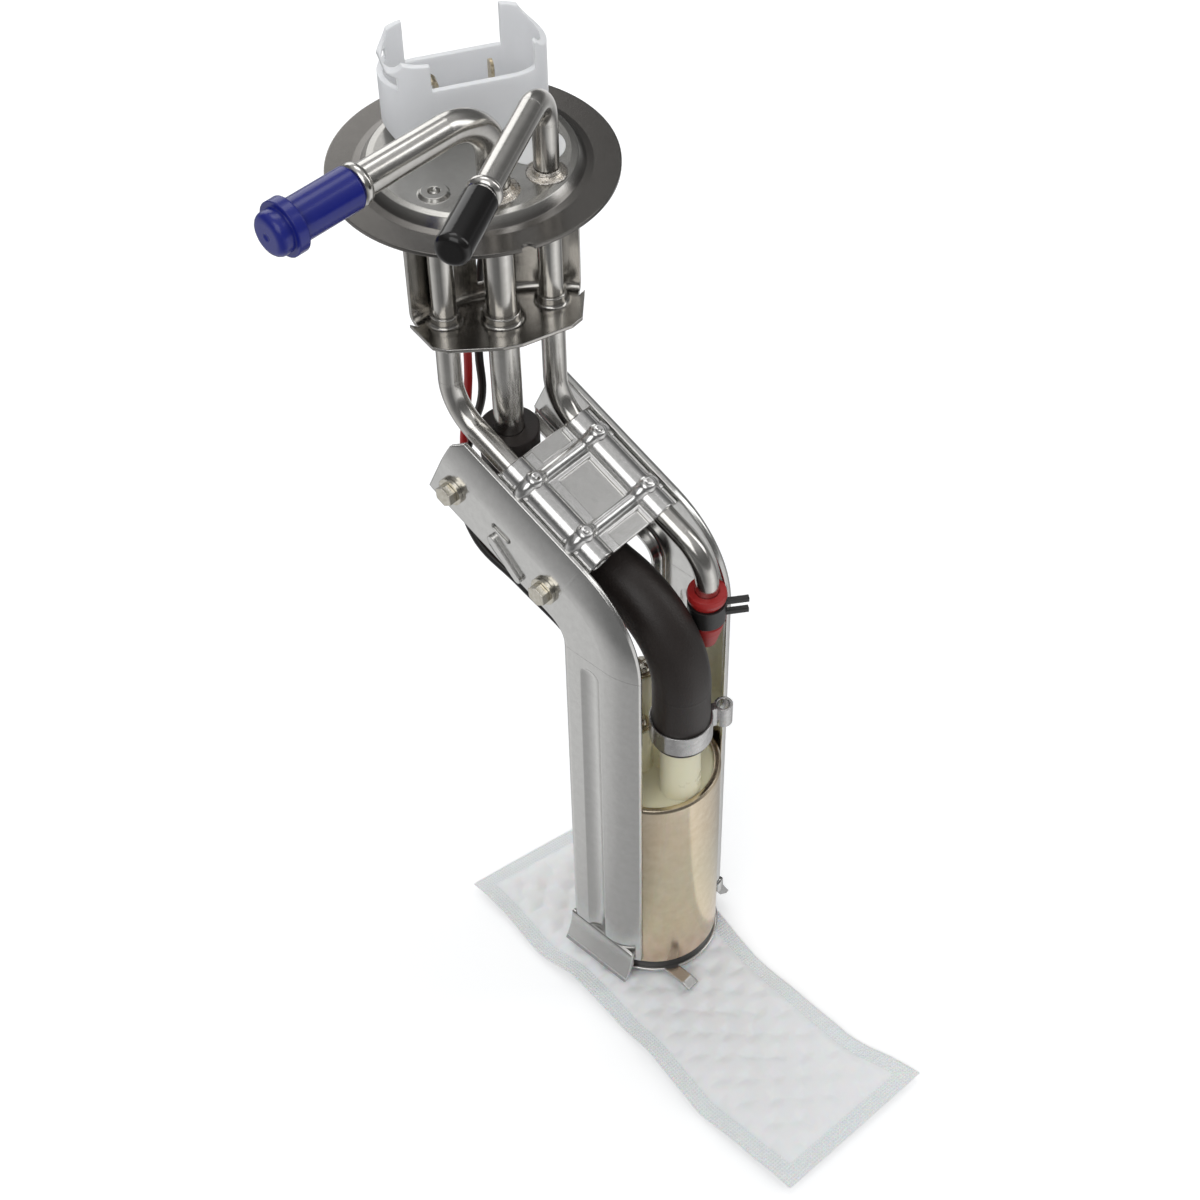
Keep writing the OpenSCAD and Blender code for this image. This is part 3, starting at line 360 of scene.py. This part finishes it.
def finish_pump_metals():
    can = metal("can_gold", ((0.66, 0.58, 0.46), (0.74, 0.67, 0.56)), (0.15, 0.22), 300, (1, 1, 0.03))
    # Gold plating goes from pink through green to pale along the can
    height_tint(can, [(0.0, (1.0, 0.86, 0.80)), (0.25, (0.98, 0.93, 0.80)), (0.55, (0.90, 0.88, 0.78)),
                      (0.8, (0.92, 0.86, 0.76)), (1.0, (0.95, 0.9, 0.82))], *CAN_HEIGHT)
    bronze = metal("bearing_bronze", ((0.45, 0.30, 0.14), (0.6, 0.42, 0.2)), (0.3, 0.4), 900, EVEN)
    winding = metal("winding", ((0.45, 0.20, 0.08), (0.62, 0.32, 0.14)), (0.25, 0.4), 300, (1, 1, 0.05),
                    relief=0.3)
    alloy = metal("cast_alloy", ((0.55, 0.55, 0.55), (0.68, 0.68, 0.68)), (0.35, 0.5), 900, EVEN, relief=0.6)
    dress(can, "pump_can")
    dress(bronze, "shaft_bearings")
    dress(winding, "armature_core")
    dress(alloy, "chamber_plate", "inlet_cover")


def finish_plastics():
    blue = moulded("cap_blue", ((0.009, 0.014, 0.17), (0.012, 0.019, 0.22)), (0.18, 0.28), 500, 0.05,
                   edge=0.0006)
    black = moulded("cap_black", ((0.005, 0.005, 0.005), (0.009, 0.008, 0.008)), (0.08, 0.16), 500, 0.06,
                    edge=0.0006)
    shroud = moulded("nylon_white", ((0.78, 0.785, 0.80), (0.82, 0.825, 0.835)), (0.28, 0.40), 300, 0.03,
                     edge=0.0005)
    plain = moulded("nylon_plain", ((0.80, 0.82, 0.84), (0.86, 0.87, 0.88)), (0.35, 0.5), 300, 0.05)
    cream = moulded("acetal_cream", ((0.74, 0.70, 0.50), (0.82, 0.78, 0.58)), (0.22, 0.36), 260, 0.05,
                    edge=0.0006)
    impeller = moulded("impeller_dark", ((0.03, 0.027, 0.025), (0.05, 0.045, 0.04)), (0.4, 0.5), 900, 0.1)
    valve = moulded("valve_green", ((0.02, 0.09, 0.03), (0.03, 0.12, 0.05)), (0.4, 0.5), 900, 0.1)
    sticker = moulded("label_blank", ((0.80, 0.80, 0.79), (0.86, 0.86, 0.85)), (0.35, 0.5), 900, 0.04)
    dress(blue, "blue_cap")
    dress(black, "black_cap")
    dress(let_light_in(shroud, 0.6), "connector_shroud")
    dress(plain, "strainer_neck", "strainer_frame")
    dress(let_light_in(cream, 0.4, (1.0, 0.8, 0.5)), "pump_end_cap")
    dress(impeller, "impeller")
    dress(valve, "check_valve")
    dress(sticker, "label_disc")


def finish_rubber_and_carbon():
    hose = moulded("hose_rubber", ((0.016, 0.012, 0.011), (0.030, 0.023, 0.020)), (0.34, 0.5), 1500, 0.20,
                   edge=0.0006, specular=0.4)
    boot = moulded("boot_red", ((0.34, 0.012, 0.012), (0.42, 0.02, 0.018)), (0.36, 0.5), 600, 0.15,
                   edge=0.0005)
    band = moulded("band_black", ((0.012, 0.012, 0.012), (0.022, 0.021, 0.02)), (0.3, 0.45), 900, 0.15)
    resin = moulded("seal_resin", ((0.10, 0.06, 0.04), (0.16, 0.10, 0.06)), (0.2, 0.4), 600, 0.1)
    carbon = moulded("carbon", ((0.03, 0.03, 0.03), (0.05, 0.05, 0.05)), (0.4, 0.6), 1500, 0.2)
    ferrite = moulded("ferrite", ((0.05, 0.05, 0.055), (0.08, 0.08, 0.085)), (0.5, 0.7), 1200, 0.2)
    dress(hose, "pump_hose")
    dress(boot, "return_boot")
    dress(band, "boot_clamp", "pump_isolator")
    dress(resin, "terminal_seal")
    dress(carbon, "brushes")
    dress(ferrite, "magnets")


# Small forms that the plain solids leave out, in millimetres
FOOT_OUTSIDE = [(-26.24, -239.6), (-26.34, -241.0), (-26.50, -242.4), (-26.74, -243.8), (-27.08, -245.1),
                (-27.52, -246.4), (-28.06, -247.7), (-28.70, -249.1), (-29.42, -250.55)]
FOOT_INSIDE = [(-28.05, -250.55), (-27.44, -249.3), (-26.72, -248.0), (-25.88, -246.5), (-25.06, -245.0),
               (-25.04, -239.6)]
FOOT_LIP = [(-23.6, -240.6), (-26.3, -240.6), (-26.5, -244.2), (-27.5, -246.6), (-29.42, -250.55),
            (-28.3, -250.9), (-25.4, -248.6), (-23.6, -245.0)]
FOOT_BACK, FOOT_WIDTH, FOOT_EDGE = -49.2, 24.6, 0.2
LIP_BACK, LIP_WIDTH = -74.0, 1.1
BETWEEN_ARMS = -6
# Outline of a weld dimple, as radius and height
DIMPLE = [(0.0, -0.10), (0.45, -0.08), (0.8, 0.06), (1.15, 0.26), (1.45, 0.24), (1.8, 0.02), (2.3, -0.5),
          (2.5, -0.9)]
DIMPLE_SPOTS = [(x, y, z) for x in (-17.6, 6.0) for y, z in ((-34.33, -70.41), (-51.69, -78.14))]
SADDLE_SLOPE = 24


def fit_on(mesh, name, node):
    """Ends a small form as a piece with the finish of the node that it is part of."""
    piece = piece_from(mesh, name)
    piece.data.materials.append(nodes[node].data.materials[0])
    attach(piece, "hanger")


def foot_band(mesh):
    """Turned-out end of an arm in one width, round the solid's own foot."""
    outline = [(x, FOOT_BACK, z) for x, z in FOOT_OUTSIDE + FOOT_INSIDE]
    extrude_face(mesh, outline, (0, -FOOT_WIDTH, 0))
    corners = [edge for edge in mesh.edges if abs(edge.verts[0].co.y - edge.verts[1].co.y) < 0.01]
    bmesh.ops.bevel(mesh, geom=corners, affect="EDGES", offset=FOOT_EDGE, segments=3, profile=0.5,
                     material=-1)


def left_foot():
    mesh = bmesh.new()
    foot_band(mesh)
    to_metres(mesh)
    fit_on(mesh, "left_foot_flare", "left_arm")


def right_foot():
    """The same end on the other side, where the narrow front lip runs on down into it."""
    mesh = bmesh.new()
    foot_band(mesh)
    extrude_face(mesh, [(x, LIP_BACK, z) for x, z in FOOT_LIP], (0, -LIP_WIDTH, 0))
    bmesh.ops.scale(mesh, verts=mesh.verts, vec=(-1, 1, 1))
    bmesh.ops.translate(mesh, verts=mesh.verts, vec=(2 * BETWEEN_ARMS, 0, 0))
    to_metres(mesh)
    fit_on(mesh, "right_foot_flare", "rear_bracket")


def weld_dimples():
    """Pressed weld spots where the saddle's ribs cross its sleeves."""
    slope = Matrix.Rotation(math.radians(SADDLE_SLOPE), 3, "X")
    mesh = bmesh.new()
    for spot in DIMPLE_SPOTS:
        points = [mesh.verts.new((radius, 0, height)) for radius, height in DIMPLE]
        edges = [mesh.edges.new(pair) for pair in zip(points, points[1:])]
        bmesh.ops.spin(mesh, geom=points + edges, cent=(0, 0, 0), axis=(0, 0, 1), angle=2 * math.pi,
                       steps=28, use_merge=True)
        fresh = [vert for vert in mesh.verts if not vert.tag]
        bmesh.ops.rotate(mesh, verts=fresh, cent=(0, 0, 0), matrix=slope)
        bmesh.ops.translate(mesh, verts=fresh, vec=spot)
        for vert in fresh:
            vert.tag = True
    bmesh.ops.remove_doubles(mesh, verts=mesh.verts, dist=0.001)
    to_metres(mesh)
    fit_on(mesh, "weld_dimples", "saddle_clamp")


# Springs of the two valves
def live_spring(name, node):
    """A merged copy of a spring, hung on the hanger while the spring's own node is hidden."""
    mesh = bmesh.new()
    mesh.from_mesh(nodes[node].data)
    bmesh.ops.remove_doubles(mesh, verts=mesh.verts, dist=0.001 * MM)
    spring = piece_from(mesh, name)
    spring.data.materials.append(nodes[node].data.materials[0])
    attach(spring, "hanger")
    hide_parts(node)
    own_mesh(spring)


# Wires: round cover on the route that the hanger holds them on, in millimetres
WIRE_RADIUS = 1.15
RED_ROUTE = [
    (3.4, 15.1, -6.2), (3.4, 15.1, -10), (2.4, 13.4, -17), (-1.5, 7, -32), (-5, 2, -48), (-6.4, 0.4, -60),
    (-7.8, 0.6, -74), (-10, 0.6, -86), (-14.4, -4, -95), (-18, -16, -100.5), (-18.4, -32, -105),
    (-18.2, -46, -110), (-18, -56, -118), (-17.4, -60.5, -132), (-15.2, -60, -142), (-14.4, -60, -146),
    (-14.4, -60, -148.9)]
BLACK_ROUTE = [
    (15.6, 8.1, -6.2), (15.6, 8.1, -10), (14, 7.4, -17), (6, 5, -32), (0, 2.5, -48), (-1.8, 1, -60),
    (-2.2, 0.6, -74), (-5, 2.4, -86), (-12.8, -0.6, -97.6), (-20.4, -12, -104), (-21.4, -30, -110),
    (-21.2, -44, -115.4), (-19.6, -51, -122), (-12, -51.5, -128), (-7.4, -53.6, -132), (-6.9, -54.1, -133.4),
    (-6.9, -54.1, -134.9)]


def wire_cover(name, route, node, slot, tones):
    curve = bpy.data.curves.new(name, "CURVE")
    curve.dimensions = "3D"
    curve.bevel_depth = WIRE_RADIUS * MM
    curve.bevel_resolution = 4
    curve.use_fill_caps = True
    line = curve.splines.new("BEZIER")
    line.bezier_points.add(len(route) - 1)
    for point, place in zip(line.bezier_points, route):
        point.co = Vector(place) * MM
        point.handle_left_type = point.handle_right_type = "AUTO"
    line.resolution_u = 8
    wire = bpy.data.objects.new(name, curve)
    bpy.context.scene.collection.objects.link(wire)
    curve.materials.append(moulded(slot, tones, (0.25, 0.4), 900, 0.05))
    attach(wire, "hanger")
    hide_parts(node)


# Strainer sock, in millimetres: size of its cloth, and its two long edges from the back to the front
SOCK_CLOTH = (50, 143)
SOCK_LEFT = [(-33, -12.1), (-34, -25), (-37.6, -46), (-37, -60), (-40.5, -90), (-46, -118.6),
             (-46.9, -153.1)]
SOCK_RIGHT = [(12.5, -22.7), (10.8, -40), (11.1, -75), (6.4, -97), (4.9, -114), (4.1, -134), (7.7, -157.9)]
SOCK_MIDDLE = -254.1
CLOTH_SQUARES = (60, 172)
SEALED_RIM = 5.0
FILL_REACH = 4.5
QUILT_STEP = (5.8, 10.4)
TIE_RADIUS = 0.8
DENT_DEPTH, DENT_RADIUS = 0.30, 1.1
# Turns of the pattern's sine waves in a millimetre, in radians
LATTICE, THREADS = 3.6, 17.0


def sock_side(edge, along):
    """Place on a long edge of the sock, at a share of its length from the back."""
    y = edge[0][1] + (edge[-1][1] - edge[0][1]) * along
    for a, b in zip(edge, edge[1:]):
        if b[1] <= y <= a[1]:
            share = (y - a[1]) / (b[1] - a[1])
            share = eased(share) * 0.4 + share * 0.6
            return a[0] + (b[0] - a[0]) * share, y
    return edge[-1]


def quilt_spot(across, along):
    """How far a place on the cloth is from the nearest spot that ties it to the mesh inside."""
    nearest = math.inf
    column = round(across / QUILT_STEP[0])
    for step in (column - 1, column, column + 1):
        shift = QUILT_STEP[1] / 2 * (step % 2)
        row = round((along - shift) / QUILT_STEP[1])
        gap = math.hypot(across - step * QUILT_STEP[0], along - shift - row * QUILT_STEP[1])
        nearest = min(nearest, gap)
    return nearest


def flat_skins(mesh):
    """Two skins of cloth on each other, one unit wide and long. Returns the corners of the lower one."""
    bmesh.ops.create_grid(mesh, x_segments=CLOTH_SQUARES[0], y_segments=CLOTH_SQUARES[1], size=0.5)
    for vert in mesh.verts:
        vert.co = (vert.co.x + 0.5, 0.5 - vert.co.y, 0)
    layer = mesh.loops.layers.uv.new("cloth")
    for face in mesh.faces:
        for loop in face.loops:
            loop[layer].uv = (loop.vert.co.x * SOCK_CLOTH[0], loop.vert.co.y * SOCK_CLOTH[1])
    lower = bmesh.ops.duplicate(mesh, geom=mesh.verts[:] + mesh.edges[:] + mesh.faces[:])["geom"]
    return {item for item in lower if isinstance(item, bmesh.types.BMVert)}


def fill_height(x, y, spot, fill, below):
    """How far a skin stands off the sock's middle, most where fill is 1 and less near a tied spot."""
    fold = noise.noise(Vector((x * 0.055, y * 0.045, 3.0 if below else 8.0)))
    crease = noise.noise(Vector((x * 0.16 + 9, y * 0.10, 1.3)))
    dent = DENT_DEPTH * math.exp(-(spot / DENT_RADIUS) ** 2) * fill
    return 0.32 + fill * (1.05 + 0.55 * fold + 0.30 * crease) - dent


def shape_skins(mesh, lower):
    """Lays the skins in their place and fills them. Returns the numbers of the corners that stay put."""
    held = []
    for number, vert in enumerate(mesh.verts):
        u, v = vert.co.x, vert.co.y
        left_x, left_y = sock_side(SOCK_LEFT, v)
        right_x, right_y = sock_side(SOCK_RIGHT, v)
        x, y = left_x + (right_x - left_x) * u, left_y + (right_y - left_y) * u
        across, along = u * SOCK_CLOTH[0], v * SOCK_CLOTH[1]
        rim = min(across, SOCK_CLOTH[0] - across, along, SOCK_CLOTH[1] - along)
        spot = quilt_spot(across, along)
        if rim < SEALED_RIM + 0.4 or spot < TIE_RADIUS:
            held.append(number)
        fill = eased(max(0.0, min(1.0, (rim - SEALED_RIM) / FILL_REACH)))
        wave = 0.55 * math.sin(y * 0.15 + x * 0.05) + 0.30 * math.sin(y * 0.34 + 1.7)
        wave *= (1 - fill) * 0.8
        high = fill_height(x, y, spot, fill, vert in lower)
        vert.co = (x, y, SOCK_MIDDLE + wave + (-high if vert in lower else high))
    return held


def billow(sock, held):
    """Blows the two skins up between the places that hold them, with the cloth taken fifty times larger."""
    scale, frames, most = 50, 20, 0.9 * MM
    flat = [vert.co.copy() for vert in sock.data.vertices]
    for vert in sock.data.vertices:
        vert.co *= scale
    group = sock.vertex_groups.new(name="held")
    group.add(held, 1.0, "REPLACE")
    cloth = sock.modifiers.new("cloth", "CLOTH")
    cloth.settings.quality = 4
    cloth.settings.mass = 0.06
    cloth.settings.use_pressure = True
    cloth.settings.uniform_pressure_force = 14
    cloth.settings.shrink_min = -0.03
    cloth.settings.bending_stiffness = 0.3
    cloth.settings.vertex_group_mass = "held"
    cloth.settings.effector_weights.gravity = 0
    cloth.point_cache.frame_start, cloth.point_cache.frame_end = 1, frames
    scene = bpy.context.scene
    for number in range(1, frames + 1):
        scene.frame_set(number)
    blown = sock.evaluated_get(bpy.context.evaluated_depsgraph_get())
    moved = [vert.co / scale for vert in blown.to_mesh().vertices]
    blown.to_mesh_clear()
    sock.modifiers.remove(cloth)
    sock.vertex_groups.remove(group)
    scene.frame_set(1)
    for vert, start, end in zip(sock.data.vertices, flat, moved):
        step = end - start
        vert.co = start + step * min(1.0, most / max(step.length, 1e-9))


def sock_shell():
    """Two cloth skins, sealed round the rim and tied in spots to the mesh inside."""
    mesh = bmesh.new()
    lower = flat_skins(mesh)
    held = shape_skins(mesh, lower)
    bmesh.ops.bridge_loops(mesh, edges=[edge for edge in mesh.edges if edge.is_boundary])
    to_metres(mesh)
    sock = piece_from(mesh, "sock_cloth")
    billow(sock, held)
    finer = sock.modifiers.new("finer", "SUBSURF")
    finer.levels = finer.render_levels = 1
    sock.data.materials.append(sock_finish())
    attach(sock, "hanger")
    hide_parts("strainer_sock")


def sock_finish():
    material, tree, surface = new_finish("sock_weave")
    uv = tree.nodes.new("ShaderNodeUVMap")
    uv.uv_map = "cloth"
    split = tree.nodes.new("ShaderNodeSeparateXYZ")
    join(tree, (uv.outputs[0], split.inputs[0]))
    u, v = split.outputs["X"], split.outputs["Y"]
    # Distance from the nearest rim, in millimetres
    side = maths(tree, "MINIMUM", u, maths(tree, "SUBTRACT", SOCK_CLOTH[0], u))
    end = maths(tree, "MINIMUM", v, maths(tree, "SUBTRACT", SOCK_CLOTH[1], v))
    band = ranged(tree, maths(tree, "MINIMUM", side, end), SEALED_RIM + 0.6, SEALED_RIM)
    # Heat-sealed lattice of small points on the rim
    plus = maths(tree, "SINE", maths(tree, "MULTIPLY", maths(tree, "ADD", u, v), LATTICE))
    minus = maths(tree, "SINE", maths(tree, "MULTIPLY", maths(tree, "SUBTRACT", u, v), LATTICE))
    dots = maths(tree, "MULTIPLY", maths(tree, "MULTIPLY", plus, minus), band)
    # Woven threads, with softer hills and hollows
    warp = maths(tree, "SINE", maths(tree, "MULTIPLY", u, THREADS))
    weft = maths(tree, "SINE", maths(tree, "MULTIPLY", v, THREADS))
    weave = maths(tree, "MULTIPLY", maths(tree, "MULTIPLY", warp, weft), 0.10)
    pores = noise_at(tree, object_place(tree), 260, 3)
    cloth = maths(tree, "ADD", weave, maths(tree, "MULTIPLY", pores, 0.9))
    height = maths(tree, "ADD", maths(tree, "MULTIPLY", dots, 0.8), cloth)
    shade = mixed(tree, maths(tree, "MULTIPLY", pores, 0.6), (0.88, 0.885, 0.89), (0.93, 0.932, 0.935))
    points = maths(tree, "MULTIPLY", maths(tree, "MAXIMUM", dots, 0.0), 0.5)
    shade = mixed(tree, points, shade, (0.70, 0.715, 0.73))
    surface.inputs["Roughness"].default_value = 0.62
    surface.inputs["Sheen Weight"].default_value = 0.25
    surface.inputs["Subsurface Weight"].default_value = 0.25
    surface.inputs["Subsurface Scale"].default_value = 0.002
    join(tree, (bumped(tree, height, 0.5, 0.0004), surface.inputs["Normal"]),
         (shade, surface.inputs["Base Color"]))
    return material


# Camera at the photograph's place, in millimetres and radians
CAMERA_PLACE = (-298.202, -324.892, 325.583)
PITCH, ROLL, YAW = 0.831766, 0.024116, 0.764299
LENS, SENSOR_WIDTH = 66.5923, 36


def set_camera():
    forward = Vector((math.cos(PITCH) * math.cos(YAW), math.cos(PITCH) * math.sin(YAW), -math.sin(PITCH)))
    side = Vector((math.sin(YAW), -math.cos(YAW), 0))
    down = forward.cross(side)
    right = math.cos(ROLL) * side + math.sin(ROLL) * down
    low = -math.sin(ROLL) * side + math.cos(ROLL) * down
    lens = bpy.data.cameras.new("photo_camera")
    lens.lens = LENS
    lens.sensor_width = SENSOR_WIDTH
    lens.sensor_fit = "HORIZONTAL"
    lens.clip_start = 0.01
    camera = bpy.data.objects.new("photo_camera", lens)
    bpy.context.scene.collection.objects.link(camera)
    turn = Matrix((right, -low, -forward)).transposed().to_4x4()
    camera.matrix_world = Matrix.Translation(Vector(CAMERA_PLACE) * MM) @ turn
    bpy.context.scene.camera = camera
    bpy.context.scene.view_settings.view_transform = "Standard"


# Light: a bright room that shiny parts see darker than it is, four soft boxes and white paper
FLOOR_SIZE, FLOOR_GAP = 3, 0.0002
SCREEN_CENTRE = (-0.010, -0.050)


def softbox(name, place, size, power, aim=(0, -0.05, -0.1)):
    """A lamp as large as size at a place, turned to aim, in metres and watts."""
    lamp = bpy.data.lights.new(name, "AREA")
    lamp.shape = "RECTANGLE"
    lamp.size, lamp.size_y = size
    lamp.energy = power
    box = bpy.data.objects.new(name, lamp)
    bpy.context.scene.collection.objects.link(box)
    box.location = place
    box.rotation_euler = (Vector(aim) - Vector(place)).to_track_quat("-Z", "Y").to_euler()


def light_the_room():
    world = bpy.data.worlds.new("studio")
    bpy.context.scene.world = world
    world.use_nodes = True
    tree = world.node_tree
    tree.nodes.clear()
    seen, shiny = ray_shares(tree)
    split = tree.nodes.new("ShaderNodeSeparateXYZ")
    join(tree, (tree.nodes.new("ShaderNodeTexCoord").outputs["Generated"], split.inputs[0]))
    height = maths(tree, "MULTIPLY_ADD", split.outputs["Z"], 0.5, 0.5)
    walls = ramp(tree, height, greys((0.0, 0.5), (0.45, 0.30), (0.56, 0.12), (0.74, 0.16), (0.86, 0.42),
                                     (1.0, 0.60)))
    color = mixed(tree, seen, mixed(tree, shiny, (0.52, 0.53, 0.54), walls), (1, 1, 1))
    glow = tree.nodes.new("ShaderNodeBackground")
    out = tree.nodes.new("ShaderNodeOutputWorld")
    join(tree, (color, glow.inputs["Color"]), (glow.outputs[0], out.inputs["Surface"]))
    softbox("key_left", (-0.85, -0.45, 0.80), (0.9, 1.0), 4.6)
    softbox("fill_right", (0.85, -0.70, 0.60), (0.35, 1.0), 2.2)
    softbox("top", (0.25, 0.30, 1.05), (0.7, 0.5), 2.0)
    softbox("back", (0.35, 0.95, 0.35), (0.8, 0.7), 2.6, aim=(0, 0, -0.1))


def lay_floor():
    mesh = bmesh.new()
    bmesh.ops.create_grid(mesh, x_segments=1, y_segments=1, size=FLOOR_SIZE)
    bmesh.ops.translate(mesh, verts=mesh.verts, vec=(0, 0, cad_box[0][2] - FLOOR_GAP))
    floor = piece_from(mesh, "floor")
    floor.data.materials.append(floor_finish())


def floor_finish():
    """White paper with a painted glow that grows away from the part, in which shiny parts see darker screens
    set round them.
    """
    material, tree, surface = new_finish("floor_paper")
    tree.nodes.remove(surface)
    seen, shiny = ray_shares(tree)
    centre = tree.nodes.new("ShaderNodeMapping")
    centre.inputs["Location"].default_value = (-SCREEN_CENTRE[0], -SCREEN_CENTRE[1], 0)
    split = tree.nodes.new("ShaderNodeSeparateXYZ")
    reach = tree.nodes.new("ShaderNodeVectorMath")
    reach.operation = "LENGTH"
    join(tree, (object_place(tree), centre.inputs[0]), (centre.outputs[0], split.inputs[0]),
         (centre.outputs[0], reach.inputs[0]))
    turn = maths(tree, "ARCTAN2", split.outputs["Y"], split.outputs["X"])
    turn = maths(tree, "MULTIPLY_ADD", turn, 0.5 / math.pi, 0.5)
    screens = ramp(tree, turn, greys((0.0, 0.12), (0.10, 0.05), (0.20, 0.55), (0.28, 1.0), (0.37, 0.55),
                                     (0.46, 0.06), (0.60, 0.85), (0.72, 0.10), (0.86, 0.62), (1.0, 0.12)))
    # Near the part the screens are softer
    near = ranged(tree, reach.outputs["Value"], 0.29, 0.36, 0.35, 0.0)
    screens = mixed(tree, near, screens, (0.85, 0.85, 0.85))
    # Painted glow: away from the part the flat paper glows brighter to camera rays, up to plain white
    far_glow = ranged(tree, reach.outputs["Value"], 0.5, 1.2, 0.32, 1.0)
    level = maths(tree, "ADD", maths(tree, "MULTIPLY", seen, far_glow), shiny)
    paper = tree.nodes.new("ShaderNodeBsdfDiffuse")
    glow = tree.nodes.new("ShaderNodeEmission")
    both = tree.nodes.new("ShaderNodeAddShader")
    join(tree, (mixed(tree, shiny, (0.86, 0.86, 0.86), (0.10, 0.10, 0.10)), paper.inputs["Color"]),
         (mixed(tree, shiny, (1, 1, 1), screens), glow.inputs["Color"]), (level, glow.inputs["Strength"]),
         (paper.outputs[0], both.inputs[0]), (glow.outputs[0], both.inputs[1]),
         (both.outputs[0], tree.nodes["Material Output"].inputs["Surface"]))
    return material


set_camera()
light_the_room()
lay_floor()
finish_sheet_metal()
finish_tubes()
finish_fixings()
finish_pump_metals()
finish_plastics()
finish_rubber_and_carbon()
left_foot()
right_foot()
weld_dimples()
wire_cover("red_wire_cover", RED_ROUTE, "red_wire", "wire_red", ((0.36, 0.012, 0.012), (0.46, 0.02, 0.02)))
wire_cover("black_wire_cover", BLACK_ROUTE, "black_wire", "wire_black",
           ((0.012, 0.011, 0.01), (0.022, 0.02, 0.018)))
live_spring("check_spring_live", "check_spring")
live_spring("relief_spring_live", "relief_spring")
sock_shell()
